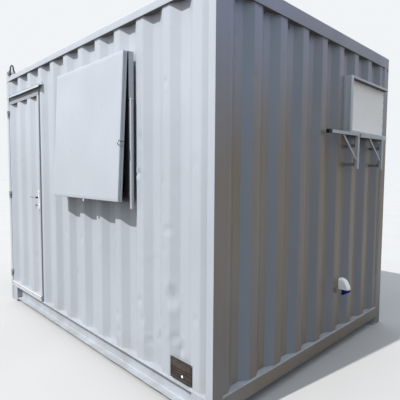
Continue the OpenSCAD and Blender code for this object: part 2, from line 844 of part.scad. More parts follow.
// A bracket about its pivot line: +X runs out along the arm and +Y goes away from the wall
module bracket_part() {
  leg_mid = tube_w/2 - 1.5;
  leg_face = leg_out - tube_w/2;
  tip = leg_mid - tube_w/2 + bracket_l;
  low = bracket_z - bracket_h;
  difference() {
    union() {
      hollow(
        [leg_mid - tube_w/2, leg_face, low],
        [leg_mid + tube_w/2, leg_face + tube_w, bracket_z],
        tube_t);
      hollow(
        [leg_mid - tube_w/2, leg_face, bracket_z - tube_w],
        [tip - 1, leg_face + tube_w, bracket_z],
        tube_t);
      // Brace of flat bar
      translate([0, leg_out + 3, 0])
        rotate([90, 0, 0])
          linear_extrude(6)
            polygon([
              [leg_mid + tube_w/2 - 1, bracket_z - brace_h],
              [leg_mid + tube_w/2 - 1, bracket_z - brace_h + 24],
              [brace_l - 22, bracket_z - tube_w + 1],
              [brace_l, bracket_z - tube_w + 1]]);
      // Plastic cap on the free end
      block(
        [tip - tip_cap_l, leg_face - 2, bracket_z - tube_w - 2],
        [tip + 3, leg_face + tube_w + 2, bracket_z + 2]);
      for (z = bracket_hinge_z)
        translate([0, 0, z]) {
          translate([0, 0, 0.5])
            cylinder(h = barrel_half - 0.5, r = barrel_r, $fn = round_fn);
          block([-1.5, 0, 4], [4, leg_face + 1, barrel_half - 3]);
        }
    }
    for (z = bracket_hinge_z)
      translate([0, 0, z - 1])
        cylinder(h = 28, r = barrel_pin_r + running_gap, $fn = round_fn);
  }
}

// The folded bracket lies along the wall towards -Y, with its tip close to the wall
module bracket(y)
  color(paint)
    translate([pivot_x, y, 0])
      rotate([0, 0, -90 - fold_tilt])
        bracket_part();

module bracket_near() bracket(bracket_y);
module bracket_far() bracket(bracket_y + bracket_step);

module inlet_housing()
  color("whitesmoke")
    difference() {
      translate([x1 - sheet_inset, inlet_y + inlet_w, 0])
        rotate([90, 0, 0])
          linear_extrude(inlet_w)
            polygon([
              [0, inlet_z], [inlet_d, inlet_z], [inlet_d, inlet_z + 18],
              [28, inlet_z + inlet_h], [0, inlet_z + inlet_h]]);
      translate([socket_x, inlet_y + inlet_w/2, inlet_z - 1])
        cylinder(h = socket_in + 1, r = socket_r + 0.3, $fn = round_fn);
    }

// Round socket that points down out of the housing, with its lid closed on it
module inlet_socket()
  color("blue")
    translate([socket_x, inlet_y + inlet_w/2, inlet_z]) {
      translate([0, 0, -30]) cylinder(h = 30 + socket_in - 0.3, r = socket_r, $fn = round_fn);
      translate([0, 0, -42]) cylinder(h = 14, r = socket_r + 7, $fn = round_fn);
    }

module bare_plate()
  color("#3a2c26")
    block(
      [plate_x, y0 + sheet_inset - 3, plate_z],
      [plate_x + plate_w, y0 + sheet_inset, plate_z + plate_h]);

module lifting_lugs()
  color(paint)
    for (sx = [-1, 1], sy = [-1, 1])
      at_corner(sx, sy)
        translate([lug_x, lug_y - lug_t/2, 0])
          difference() {
            union() {
              translate([0, 0, eye_z]) rod_y(lug_t, lug_r);
              block([-lug_r, 0, side_rail_top], [lug_r, lug_t, eye_z]);
            }
            translate([0, -1, eye_z]) rod_y(lug_t + 2, bow_pin_r + eye_play);
            block([-lug_r - 1, -1, side_rail_top - lug_r], [lug_r + 1, lug_t + 1, side_rail_top]);
          }

// The bow stands up from the pin; its ears hold the pin on both sides of the lug
module shackle_bow() {
  ear = bow_gap/2 + ear_half;
  color("lightgray")
    translate([x0 + lug_x, y0 + lug_y, pin_z])
      difference() {
        union() {
          for (s = [-1, 1])
            translate([0, s*ear, 0]) {
              translate([0, -ear_half, 0]) rod_y(2*ear_half, bow_pin_r + 8);
              cylinder(h = bow_h, r = bow_bar_r, $fn = round_fn);
            }
          translate([0, 0, bow_h])
            rotate([0, 0, 90])
              rotate([90, 0, 0])
                rotate_extrude(angle = 180, $fn = round_fn)
                  translate([ear, 0]) circle(r = bow_bar_r, $fn = round_fn);
        }
        translate([0, -bow_pin_l/2, 0]) rod_y(bow_pin_l, bow_pin_r + 0.3);
      }
}

module shackle_pin()
  color("goldenrod")
    translate([x0 + lug_x, y0 + lug_y, pin_z]) {
      translate([0, -bow_pin_l/2, 0]) rod_y(bow_pin_l, bow_pin_r);
      translate([0, -bow_gap/2 - 2*ear_half - 12, 0]) rod_y(11.5, bow_pin_r + 7);
    }

corner_posts();
side_top_rails();
end_headers();
bottom_channels();
end_bottom_rails();
floor_beams();
floor_boards();
roof_sheet();
front_wall_over_door();
front_wall_pier();
front_wall_window_bay();
front_wall_right();
rear_wall();
left_wall();
right_wall();
right_wall_outlet_bay();
front_lining();
rear_lining();
left_lining();
right_lining();
ceiling();
door_frame();
door_leaf();
door_skin();
door_inner_board();
door_kick_plate();
door_lock();
door_handle();
hinge_butts();
hinge_leaves();
drip_cap();
window_box();
window_frame();
window_glass();
window_flap();
flap_stay();
outlet_frame();
outlet_board();
bracket_hinges();
bracket_near();
bracket_far();
inlet_housing();
inlet_socket();
bare_plate();
lifting_lugs();
shackle_bow();
shackle_pin();
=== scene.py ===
import math

import bmesh
import bpy
from mathutils import Matrix, Vector, noise


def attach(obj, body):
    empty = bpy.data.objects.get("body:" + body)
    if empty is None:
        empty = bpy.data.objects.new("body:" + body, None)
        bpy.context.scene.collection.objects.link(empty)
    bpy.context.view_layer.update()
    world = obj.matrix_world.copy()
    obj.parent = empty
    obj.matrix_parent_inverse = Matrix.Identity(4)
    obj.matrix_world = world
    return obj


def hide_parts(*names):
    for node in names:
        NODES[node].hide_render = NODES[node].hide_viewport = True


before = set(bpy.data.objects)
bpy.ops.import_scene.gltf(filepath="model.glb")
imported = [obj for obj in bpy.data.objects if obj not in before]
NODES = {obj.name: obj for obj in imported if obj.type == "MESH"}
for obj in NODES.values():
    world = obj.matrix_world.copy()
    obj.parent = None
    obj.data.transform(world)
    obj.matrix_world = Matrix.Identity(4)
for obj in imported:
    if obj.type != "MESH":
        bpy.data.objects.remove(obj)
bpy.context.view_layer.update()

# Sizes in metres, the same as in the part's source. INSET with DEPTH, CAP_END and the outlet's top bar
# follow the photograph instead, where the two differ
X0, X1 = -1.6575, 1.6575
Y0, Y1 = -1.219, 1.219
POST_X, POST_Y = 0.057, 0.089
SILL = 0.172
HEADER_LOW = 2.510
RAIL_LOW, RAIL_TOP = 2.519, 2.573
INSET, DEPTH, SHEET = 0.0125, 0.0375, 0.002
CREST, SLOPE = 0.072, 0.068
# Where a crest of the corrugation begins, and its pitch, on the long sides and on the ends
LONG = (1.464, 0.280)
END = (0.228, 0.274)
# Between the posts, along the long sides and along the ends
LONG_A, LONG_B = X0 + POST_X, X1 - POST_X
END_A, END_B = Y0 + POST_Y, Y1 - POST_Y
DOOR_X0, DOOR_X1, DOOR_TOP = LONG_A, -0.7435, 2.302
CAP_END = -0.680
HOLE = (-0.120, 0.801, 1.345, 2.261)
BOX = (-0.177, 0.858, 1.288, 2.318)
OUTLET = (0.345, 1.130, 1.813, 2.300)   # y and z of the outlet frame's outside
OUTLET_HOLE_TOP = 2.290
BAR, TOP_BAR = 0.043, 0.019
OUTLET_FACE, PANEL_X = 1.6925, 1.6535
HINGE_Y, HINGE_X, HINGE_ZS = -1.231, -1.598, (0.323, 1.236, 2.149)
BRACKETS = (("near", 0.425), ("far", 0.929))
SPINDLE_X, SPINDLE_Z = -0.7815, 1.240
DENT_GAIN = 2.4
BEHIND_BOX = 0.0085   # how far the sheet keeps back behind the window's box


# ---------------------------------------------------------------- camera
def camera():
    """The photograph's camera: position, heading and focal length were solved from its edges."""
    yaw, pitch, roll = (math.radians(a) for a in (45.814, -3.873, 0.386))
    forward = Vector((-math.sin(yaw) * math.cos(pitch), math.cos(yaw) * math.cos(pitch), math.sin(pitch)))
    right = Vector((math.cos(yaw), math.sin(yaw), 0))
    up = right.cross(forward)
    right, up = (
        right * math.cos(roll) + up * math.sin(roll),
        up * math.cos(roll) - right * math.sin(roll),
    )
    data = bpy.data.cameras.new("camera")
    data.sensor_width = 36
    data.lens = 34.56
    data.clip_start = 0.05
    data.clip_end = 200
    cam = bpy.data.objects.new("camera", data)
    cam.matrix_world = Matrix((right, up, -forward)).transposed().to_4x4()
    cam.location = (3.1173, -2.7477, 1.4857)
    bpy.context.scene.collection.objects.link(cam)
    bpy.context.scene.camera = cam


# ---------------------------------------------------------------- materials
class Graph:
    """Short helpers to wire a node tree. Each input takes a value or another node's output."""

    def __init__(self, tree):
        self.tree = tree

    def feed(self, socket, value):
        if isinstance(value, bpy.types.NodeSocket):
            self.tree.links.new(value, socket)
        else:
            socket.default_value = value

    def node(self, kind, inputs, output=0, **settings):
        node = self.tree.nodes.new(kind)
        for key, value in settings.items():
            setattr(node, key, value)
        for key, value in inputs.items():
            self.feed(node.inputs[key], value)
        return node.outputs[output]

    def span(self, value, low, high, to_low=0.0, to_high=1.0):
        """Smooth step from to_low to to_high."""
        inputs = dict(enumerate((value, low, high, to_low, to_high)))
        return self.node("ShaderNodeMapRange", inputs, interpolation_type="SMOOTHSTEP")

    def math(self, kind, a, b):
        return self.node("ShaderNodeMath", {0: a, 1: b}, operation=kind)

    def times(self, a, b):
        return self.math("MULTIPLY", a, b)

    def part(self, vector, which):
        return self.node("ShaderNodeSeparateXYZ", {0: vector}, which)

    def ray(self, kind):
        return self.node("ShaderNodeLightPath", {}, kind)


class Surface(Graph):
    """A material in the making."""

    def __init__(self, name):
        self.material = bpy.data.materials.new(name)
        self.material.use_nodes = True
        super().__init__(self.material.node_tree)
        self.coords = self.node("ShaderNodeTexCoord", {}, "Object")

    def noise(self, scale, detail=3.0, stretch=None, rough=0.5):
        where = self.coords
        if stretch:
            where = self.node("ShaderNodeMapping", {"Vector": where, "Scale": stretch})
        inputs = {"Vector": where, "Scale": scale, "Detail": detail, "Roughness": rough}
        return self.node("ShaderNodeTexNoise", inputs, "Fac")

    def axis(self, which):
        return self.part(self.coords, which)

    def normal(self, which):
        """One axis of the surface's direction in the rest pose."""
        return self.part(self.node("ShaderNodeTexCoord", {}, "Normal"), which)

    def facing(self, which, low, high):
        """1 where the surface faces along an axis in the rest pose."""
        return self.span(self.normal(which), low, high)

    def mix(self, fac, a, b, **settings):
        a, b = ((*v, 1) if isinstance(v, tuple) else v for v in (a, b))
        return self.node("ShaderNodeMix", {0: fac, 6: a, 7: b}, 2, data_type="RGBA", **settings)

    def over(self, below, mask, amount, color):
        """Lays a colour over the one below, by the mask times the amount."""
        return self.mix(self.times(mask, amount), below, color)

    def tones(self, value, low, high, base, dark, light):
        """Two shades of a colour, by a value."""
        return self.mix(self.span(value, low, high), shade(base, dark), shade(base, light))

    def shade_of(self, color, k):
        """The colour times k, a number or one for each channel."""
        k = k if isinstance(k, tuple) else (k, k, k)
        return self.mix(1.0, color, k, blend_type="MULTIPLY", clamp_result=False)

    def done(self, color, rough, *bumps, **others):
        """Feeds the shader. Bumps are (height, strength, distance)."""
        sockets = self.tree.nodes["Principled BSDF"].inputs
        normal = {}
        for height, strength, distance in bumps:
            inputs = {"Height": height, "Strength": strength, "Distance": distance, **normal}
            normal = {"Normal": self.node("ShaderNodeBump", inputs)}
        for key, value in {"Base Color": color, "Roughness": rough, **normal, **others}.items():
            self.feed(sockets[key], value)
        return self.material


def shade(rgb, k):
    return tuple(c * k for c in rgb)


PAINT = (0.425, 0.455, 0.500)
END_DUST_AND_REFLECTION = (0.232, 0.198, 0.157)
LOW_SHADE_AND_DUST = (0.20, 0.21, 0.22)
ROAD_DIRT = (0.20, 0.165, 0.125)
INSIDE_SHADE = (0.040, 0.041, 0.044)
CHIPS = (0.17, 0.15, 0.14)
UNDERSIDE_SHADE_AND_DRIPS = (0.058, 0.048, 0.040)
SPECULAR = "Specular IOR Level"


def paint(name, base=PAINT, streaks=1.0, dirt=1.0, end=None, inside=None):
    """Weathered sprayed paint on steel: uneven tone, rain streaks, road dirt low down, chips.

    end is how far it has the right end's painted shade, painted reflection and dust; None is by its place on the
    cabin.
    inside names the faces painted near black as shade: "flap" for those that look back at the cabin, "box" for the
    box's.
    """
    g = Surface(name)
    x, y, z = (g.axis(k) for k in range(3))
    c = g.tones(g.noise(1.6, 4), 0.3, 0.7, base, 0.955, 1.03)
    c = g.over(c, g.span(g.noise(5.5, 4, (1, 1, 0.09), 0.6), 0.42, 0.75), 0.5 * streaks, shade(base, 0.90))
    c = g.over(c, g.span(g.noise(14, 3), 0.52, 0.8), 0.35, shade(base, 1.05))
    low = g.times(g.span(z, 0.42, 0.02), g.span(g.noise(7, 5, (1, 1, 0.5)), 0.38, 0.68))
    c = g.over(c, low, 0.34 * dirt, ROAD_DIRT)
    # Painted light and shade: lighter under the roof, darker further down, partly dust
    c = g.mix(g.span(z, 2.55, 0.9, 0.0, 0.27), g.shade_of(c, 1.09), LOW_SHADE_AND_DUST)
    if end != 0:
        # The right end is painted darker as shade; faces turned to the front get a lighter, bluer painted sky
        # reflection, flats a browner tone, partly dust and partly painted ground reflection
        place = g.span(x, 1.6566, 1.6572) if end is None else end
        dust_and_reflection_mask = g.times(g.span(g.noise(2.4, 4, (1, 1, 0.35)), 0.3, 0.65, 0.78, 1.0), g.span(z, 2.6, 1.5, 0.05, 1.0))
        front = g.facing(1, -0.15, -0.32)
        dust_and_reflection_mask = g.times(dust_and_reflection_mask, g.math("SUBTRACT", 1.0, g.times(front, 0.82)))
        end_shade_tones = g.mix(front, g.shade_of(c, (0.67, 0.70, 0.88)), g.shade_of(c, (0.545, 0.605, 0.685)))
        # Darker lower down and toward the far end
        end_shade_and_dust = g.mix(dust_and_reflection_mask, end_shade_tones, g.mix(g.span(z, 1.1, 0.35), END_DUST_AND_REFLECTION, shade(END_DUST_AND_REFLECTION, 0.80)))
        end_shade_and_dust = g.mix(g.span(y, -0.9, 0.2), end_shade_and_dust, g.shade_of(end_shade_and_dust, (0.86, 0.81, 0.76)))
        c = g.mix(place, c, end_shade_and_dust)
    if inside == "box":
        # Painted shade, near black, inside the window's box: faces that look to its middle, and the flange at its
        # back
        across = g.times(g.math("SUBTRACT", x, (BOX[0] + BOX[1]) / 2), g.normal(0))
        along = g.times(g.math("SUBTRACT", z, (BOX[2] + BOX[3]) / 2), g.normal(2))
        inner = g.span(g.math("ADD", across, along), -0.10, -0.20)
        flange = g.times(g.facing(1, -0.5, -0.8), g.span(y, -1.2500, -1.2480))
        c = g.mix(g.math("MAXIMUM", inner, flange), c, INSIDE_SHADE)
    elif inside:
        # Painted shade, near black, on the flap's faces that look back at the cabin
        c = g.mix(g.facing(1, 0.4, 0.7), c, INSIDE_SHADE)
    if name == "grey_paint_door":
        # Painted shadow of the cap over the door, on the door's head band
        c = g.over(c, g.span(z, 2.2500, 2.2535), 0.62, shade(PAINT, 0.42))
    c = g.over(c, g.span(g.noise(46, 2, (1, 1, 0.6)), 0.745, 0.76), 0.5, CHIPS)
    # Undersides are painted dark as shade; the valleys just under the end's header get painted shade with brown drips
    # running down from the laps
    phase = g.math("FLOORED_MODULO", g.math("SUBTRACT", y, END[0] + CREST + SLOPE - 0.010), END[1])
    lap_shade_and_drips = g.times(g.span(phase, 0.030, 0.018), g.span(x, 1.60, 1.605))
    wet = g.math("ADD", z, g.times(g.noise(30, 3, (1, 1, 0.25)), 0.080))
    lap_shade_and_drips = g.times(g.times(lap_shade_and_drips, g.span(wet, 2.500, 2.535)), g.span(z, 2.5110, 2.5100))
    dark = g.math("MAXIMUM", g.facing(2, -0.55, -0.90), lap_shade_and_drips)
    gloss = g.span(g.noise(3.0, 4, (1, 1, 0.3)), 0.3, 0.7, 0.30, 0.44)
    return g.done(g.over(c, dark, 0.84, UNDERSIDE_SHADE_AND_DRIPS), g.math("MAXIMUM", gloss, g.times(dark, 0.9)),
                  (g.noise(420, 2), 0.10, 0.0006), (g.noise(60, 2), 0.10, 0.0012), **{SPECULAR: 0.32})


def metal(name, base, rough, brushed=None, metallic=1.0):
    g = Surface(name)
    n = g.noise(160, 3, brushed)
    return g.done(g.tones(n, 0.3, 0.7, base, 0.82, 1.08), g.span(g.noise(40, 3), 0.3, 0.7, rough - 0.08, rough + 0.1),
                  (n, 0.12, 0.0005), Metallic=metallic)


def plastic(name, base, rough=0.42, shine=0.5):
    g = Surface(name)
    return g.done(g.tones(g.noise(9, 4), 0.35, 0.7, base, 0.93, 1.03),
                  g.span(g.noise(30, 3), 0.3, 0.7, rough - 0.06, rough + 0.08),
                  (g.noise(900, 1), 0.10, 0.0003), **{SPECULAR: shine})


def board(name, base):
    """Smooth coated board: faint wash marks, and a fine grain in the gloss."""
    g = Surface(name)
    c = g.tones(g.noise(2.2, 3), 0.3, 0.7, base, 0.96, 1.02)
    c = g.over(c, g.span(g.noise(26, 4, (1, 1, 0.2)), 0.55, 0.8), 0.3, shade(base, 0.88))
    return g.done(c, g.span(g.noise(18, 3), 0.3, 0.7, 0.42, 0.55), (g.noise(300, 2), 0.12, 0.0004))


def plywood():
    g = Surface("plywood_floor")
    grain = g.noise(26, 6, (0.12, 1.6, 1), 0.65)
    c = g.mix(g.span(grain, 0.3, 0.72), (0.30, 0.195, 0.11), (0.47, 0.335, 0.205))
    c = g.over(c, g.span(g.noise(3.4, 2, (0.5, 1, 1)), 0.70, 0.76), 0.6, (0.17, 0.10, 0.055))
    return g.done(c, g.span(grain, 0.3, 0.7, 0.38, 0.55), (grain, 0.25, 0.0008))


def dark_steel():
    """Primed steel under the floor and at the hinges, with dust on it."""
    g = Surface("painted_steel_worn")
    c = g.tones(g.noise(9, 4), 0.35, 0.7, (0.30, 0.325, 0.355), 0.8, 1.05)
    c = g.over(c, g.span(g.noise(60, 3), 0.62, 0.7), 0.7, (0.19, 0.12, 0.08))
    return g.done(c, g.span(g.noise(20, 3), 0.3, 0.7, 0.42, 0.6), (g.noise(260, 3), 0.2, 0.0006))


def tread():
    """Bright ribbed strip, its grooves painted dark: painted shade with dirt in them."""
    g = Surface("worn_tread")
    n = g.noise(160, 3, (0.3, 1, 1))
    c = g.mix(g.span(n, 0.3, 0.7), (0.60, 0.62, 0.65), (0.70, 0.72, 0.75))
    c = g.over(c, g.span(g.noise(24, 4, (0.4, 1, 1)), 0.5, 0.75), 0.35, (0.34, 0.33, 0.31))
    # Painted shade and dirt in the grooves
    c = g.over(c, g.span(g.axis(1), -1.2240, -1.2205), 0.92, (0.045, 0.040, 0.035))
    return g.done(c, g.span(g.noise(40, 3), 0.3, 0.7, 0.36, 0.52), (n, 0.12, 0.0005), Metallic=0.10)


def plate_dark():
    """Dark enamelled plate, bare: brown-black with rubbed patches."""
    g = Surface("dark_enamel")
    c = g.mix(g.span(g.noise(16, 4), 0.35, 0.7), (0.036, 0.027, 0.022), (0.058, 0.045, 0.036))
    c = g.over(c, g.span(g.noise(70, 4, (1, 1, 0.4)), 0.6, 0.75), 0.35, (0.10, 0.085, 0.07))
    return g.done(c, g.span(g.noise(22, 3), 0.3, 0.7, 0.28, 0.45), (g.noise(180, 2), 0.08, 0.0004), **{SPECULAR: 0.2})


def glass():
    g = Surface("window_pane")
    c = g.mix(g.span(g.noise(3, 2), 0.3, 0.7), (0.78, 0.86, 0.87), (0.86, 0.92, 0.93))
    return g.done(c, g.span(g.noise(6, 3), 0.35, 0.75, 0.02, 0.06), IOR=1.48, **{"Transmission Weight": 1.0})


MATERIALS = {
    "paint": paint("grey_paint", shade(PAINT, 0.975)),
    "flap": paint("grey_paint_flat", shade(PAINT, 0.97), 0.35, 0.2, 0, "flap"),
    "box": paint("grey_paint_box", PAINT, 0.6, 0.3, 0, "box"),
    "leaf": paint("grey_paint_door", shade(PAINT, 0.99), 0.6, 0.8, 0),
    "end": paint("grey_paint_end_shaded", PAINT, 1.2, 1.0, 1.0),
    # The roof is painted darker as shade, so the sun on its top does not clip
    "roof": paint("grey_paint_roof", (0.225, 0.232, 0.240), 1.0, 0.0, 0),
    "trim": paint("grey_paint_trim", PAINT, 0.6, 0.3, 0),
    "steel": dark_steel(),
    "plywood": plywood(),
    "board": board("coated_board", (0.87, 0.86, 0.85)),
    "tread": tread(),
    "lock": metal("satin_metal", (0.90, 0.915, 0.93), 0.24, (1, 1, 0.08)),
    "aluminium": metal("coated_aluminium", (0.062, 0.065, 0.070), 0.40, (1, 1, 0.06), 0.2),
    "glass": glass(),
    "white": plastic("white_moulded", (0.93, 0.94, 0.94)),
    "blue": plastic("blue_moulded", (0.003, 0.018, 0.20), 0.45, 0.12),
    "black": plastic("black_moulded", (0.010, 0.011, 0.013), 0.5, 0.2),
    "plate": plate_dark(),
    "zinc": metal("galvanised", (0.36, 0.375, 0.39), 0.30),
    "chrome": metal("dull_chrome", (0.40, 0.41, 0.43), 0.22, (0.2, 1, 1)),
    "forged": metal("forged_zinc", (0.115, 0.125, 0.14), 0.38, None, 0.75),
    "print": plastic("black_print", (0.010, 0.009, 0.009), 0.5, 0.15),
    "sealant": plastic("grey_sealant", (0.40, 0.42, 0.44), 0.55),
}


# ---------------------------------------------------------------- mesh helpers
def finish_piece(name, bm, material, body, replaces=(), sharp=35):
    """Makes a piece, closes its shading at sharp edges, and lets it ride on its body."""
    mesh = bpy.data.meshes.new(name)
    bmesh.ops.recalc_face_normals(bm, faces=bm.faces)
    bm.to_mesh(mesh)
    bm.free()
    mesh.validate()
    mesh.polygons.foreach_set("use_smooth", [True] * len(mesh.polygons))
    mesh.set_sharp_from_angle(angle=math.radians(sharp))
    mesh.materials.append(MATERIALS[material])
    obj = bpy.data.objects.new(mesh.name, mesh)
    bpy.context.scene.collection.objects.link(obj)
    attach(obj, body)
    if replaces:
        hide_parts(*replaces)
    return obj


def mm(*values):
    """Millimetres to metres."""
    return tuple(v / 1000 for v in values)


def circle(centre, side, other, r, n):
    turns = (2 * math.pi * k / n for k in range(n))
    return [centre + (side * math.cos(a) + other * math.sin(a)) * r for a in turns]


class Shape:
    """Collects vertices and faces of several closed forms in one piece."""

    def __init__(self):
        self.bm = bmesh.new()

    def block(self, low, high, bevel=0.0, segments=2, matrix=None):
        """A box with rounded edges."""
        before = set(self.bm.verts)
        made = bmesh.ops.create_cube(self.bm, size=1.0)["verts"]
        size = [h - l for l, h in zip(low, high)]
        mid = [(h + l) / 2 for l, h in zip(low, high)]
        for v in made:
            v.co = Vector([c * s + m for c, s, m in zip(v.co, size, mid)])
        if bevel:
            edges = list({e for v in made for e in v.link_edges})
            bmesh.ops.bevel(self.bm, geom=edges, offset=min(bevel, min(size) * 0.45), segments=segments,
                            affect="EDGES", profile=0.6)
        self.move(before, matrix)

    def move(self, before, matrix):
        if matrix is not None:
            fresh = [v for v in self.bm.verts if v not in before]
            bmesh.ops.transform(self.bm, matrix=matrix, verts=fresh)

    def rings(self, rings, closed_ends=True, loop=False):
        """Skins rings of points, each with the same number of points."""
        rows = [[self.bm.verts.new(p) for p in ring] for ring in rings]
        n = len(rows[0])
        pairs = list(zip(rows, rows[1:]))
        if loop:
            pairs.append((rows[-1], rows[0]))
        for a, b in pairs:
            for i in range(n):
                self.bm.faces.new((a[i], a[(i + 1) % n], b[(i + 1) % n], b[i]))
        if closed_ends and not loop:
            self.bm.faces.new(list(reversed(rows[0])))
            self.bm.faces.new(rows[-1])

    def tube(self, points, radius, n=10, loop=False):
        """A bar along a line of points; radius is a number or one for each point."""
        points = [Vector(p) for p in points]
        count = len(points)
        radii = [radius] * count if isinstance(radius, (int, float)) else list(radius)
        rings, side = [], None
        for i, p in enumerate(points):
            ahead = points[(i + 1) % count] if (loop or i + 1 < count) else p
            back = points[i - 1] if (loop or i > 0) else p
            along = (ahead - back).normalized()
            if side is None:
                side = along.orthogonal().normalized()
            side = (side - along * side.dot(along)).normalized()
            rings.append(circle(p, side, along.cross(side), radii[i], n))
        self.rings(rings, loop=loop)

    def lathe(self, centre, axis, profile, n=24):
        """Turns a profile about an axis: distance along it and radius by turns, in millimetres."""
        centre, axis = Vector(centre), Vector(axis).normalized()
        side = axis.orthogonal().normalized()
        profile = mm(*profile)
        self.rings([circle(centre + axis * along, side, axis.cross(side), max(r, 1e-5), n)
                    for along, r in zip(profile[::2], profile[1::2])])

    def plate(self, outline, a, b, bevel=0.0, segments=2):
        """A flat outline of 3-D points swept from offset a to offset b."""
        before = set(self.bm.verts)
        low = [self.bm.verts.new(Vector(p) + Vector(a)) for p in outline]
        high = [self.bm.verts.new(Vector(p) + Vector(b)) for p in outline]
        n = len(outline)
        self.bm.faces.new(list(reversed(low)))
        self.bm.faces.new(high)
        for i in range(n):
            self.bm.faces.new((low[i], low[(i + 1) % n], high[(i + 1) % n], high[i]))
        if bevel:
            edges = list({e for v in self.bm.verts if v not in before for e in v.link_edges})
            bmesh.ops.bevel(self.bm, geom=edges, offset=bevel, segments=segments, affect="EDGES", profile=0.6)

    def done(self, name, material, body="cabin", slot="paint", replaces=(), sharp=35):
        bmesh.ops.remove_doubles(self.bm, verts=self.bm.verts, dist=1e-6)
        return finish_piece(name, self.bm, material, body, replaces, sharp)


def wavy(u, v, seed, big=0.0011, small=0.00035):
    """Slow unevenness of thin sheet, in metres."""
    return (noise.noise(Vector((u * 2.6, v * 1.1, seed))) * big
            + noise.noise(Vector((u * 8.0, v * 5.0, seed + 9.1))) * small)


# ---------------------------------------------------------------- corrugated sheets
def fall(u, start, pitch, depth):
    u = (u - start) % pitch
    if u < CREST:
        return 0.0
    if u < CREST + SLOPE:
        return depth * (u - CREST) / SLOPE
    if u < pitch - SLOPE:
        return depth
    return depth * (pitch - u) / SLOPE


def rounded_fall(u, wave, depth=DEPTH, r=0.0065):
    return sum(fall(u + r * k / 4, *wave, depth) for k in range(-4, 5)) / 9


def stations(a, b, wave, step):
    """Places across a sheet: close together at its bends, and no further apart than step."""
    start, pitch = wave
    marks = {a, b}
    n = math.floor((a - start) / pitch)
    while start + n * pitch < b + pitch:
        for bend in (0, CREST, CREST + SLOPE, pitch - SLOPE):
            for off in (-0.008, -0.004, 0.0, 0.004, 0.008):
                u = start + n * pitch + bend + off
                if a + 0.002 < u < b - 0.002:
                    marks.add(u)
        n += 1
    marks = sorted(marks)
    out = [marks[0]]
    for m in marks[1:]:
        parts = max(1, math.ceil((m - out[-1]) / step))
        low = out[-1]
        out += [low + (m - low) * k / parts for k in range(1, parts + 1)]
    return out


def sheet(name, node, a, b, low, high, wave, depth, place, seed, dents=(), span=None,
          step=0.020, rise=0.026, material="paint", body="cabin", thick=SHEET, slot="paint", pressed=0.0):
    """A corrugated sheet with rounded bends, uneven flats and dents. place(u, d, v) gives a point.

    Its low and high edges are pressed flat over the distance pressed.
    """
    us = stations(a, b, wave, step)
    rows = max(2, math.ceil((high - low) / rise))
    vs = [low + (high - low) * k / rows for k in range(rows + 1)]
    u0, u1, v0, v1 = span or (a, b, low, high)
    base = [rounded_fall(u, wave, depth) for u in us]

    def inward(u, v):
        edge = min(u - u0, u1 - u, v - v0, v1 - v)
        k = min(max(edge / 0.06, 0), 1)
        d = wavy(u, v, seed) * k * k * (3 - 2 * k)
        for cu, cv, ru, rv, amount in dents:
            q = ((u - cu) / ru) ** 2 + ((v - cv) / rv) ** 2
            if q < 9:
                d += DENT_GAIN * amount * k * (math.exp(-q) - 0.32 * math.exp(-((math.sqrt(q) - 1.55) ** 2) * 5))
        if place is front_place:
            covered = min(u - BOX[0], BOX[1] - u, v - BOX[2], BOX[3] - v) / 0.03
            d += BEHIND_BOX * min(max(covered, 0), 1)
        return d

    front, back = [], []
    for v in vs:
        flat = max(0.0, 1 - min(v - low, high - v) / pressed) if pressed else 0.0
        for u, d in zip(us, base):
            d += (depth - d) * flat + inward(u, v)
            front.append(place(u, d, v))
            back.append(place(u, d + thick, v))
    n, m = len(us), len(vs)
    count = n * m
    faces = []
    for j in range(m - 1):
        for i in range(n - 1):
            p = j * n + i
            faces.append((p, p + 1, p + n + 1, p + n))
            faces.append((count + p, count + p + n, count + p + n + 1, count + p + 1))
    ring = [i for i in range(n)] + [j * n + n - 1 for j in range(1, m)]
    ring += [(m - 1) * n + i for i in range(n - 2, -1, -1)] + [j * n for j in range(m - 2, 0, -1)]
    for p, q in zip(ring, ring[1:] + ring[:1]):
        faces.append((p, p + count, q + count, q))
    mesh = bpy.data.meshes.new("net")
    mesh.from_pydata(front + back, [], faces)
    bm = bmesh.new()
    bm.from_mesh(mesh)
    bpy.data.meshes.remove(mesh)
    finish_piece(name, bm, material, body, [node], 50)


def front_place(u, d, v):
    return (u, Y0 + INSET + d, v)


def rear_place(u, d, v):
    return (u, Y1 - INSET - d, v)


def right_place(u, d, v):
    return (X1 - INSET - d, u, v)


def left_place(u, d, v):
    return (X0 + INSET + d, u, v)


# Dents in millimetres: place across and up, half sizes and depth, read off the photograph
FRONT_DENTS = [mm(*dent) for dent in (
    (1215, 2050, 22, 14, 4.0), (1170, 1860, 30, 12, 3.0), (945, 1720, 14, 45, 4.5), (925, 1490, 30, 20, 6.0),
    (1185, 1440, 20, 30, 2.0), (1240, 1130, 40, 20, 3.5), (1200, 990, 18, 18, 3.0), (1270, 700, 35, 60, 4.5),
    (1080, 930, 50, 10, 3.2), (900, 905, 40, 11, 4.0), (600, 915, 34, 10, 4.0), (360, 925, 34, 10, 4.4),
    (80, 935, 34, 10, 3.6), (-210, 945, 34, 11, 3.6), (-490, 955, 30, 10, 2.6), (930, 600, 20, 30, 3.5),
    (960, 470, 24, 16, 4.0), (1140, 520, 16, 50, 3.5), (1120, 380, 20, 26, 5.0), (1300, 440, 40, 16, 5.5),
    (1335, 370, 20, 40, 4.5), (1020, 330, 30, 14, 3.6), (640, 420, 20, 30, 3.0), (660, 300, 30, 12, 3.4),
    (330, 380, 22, 22, 2.6), (-300, 450, 26, 20, 2.2), (-50, 600, 22, 40, 2.0), (1500, 620, 20, 30, 2.2),
    (1490, 1550, 16, 40, 1.8), (-620, 360, 24, 16, 2.2))]
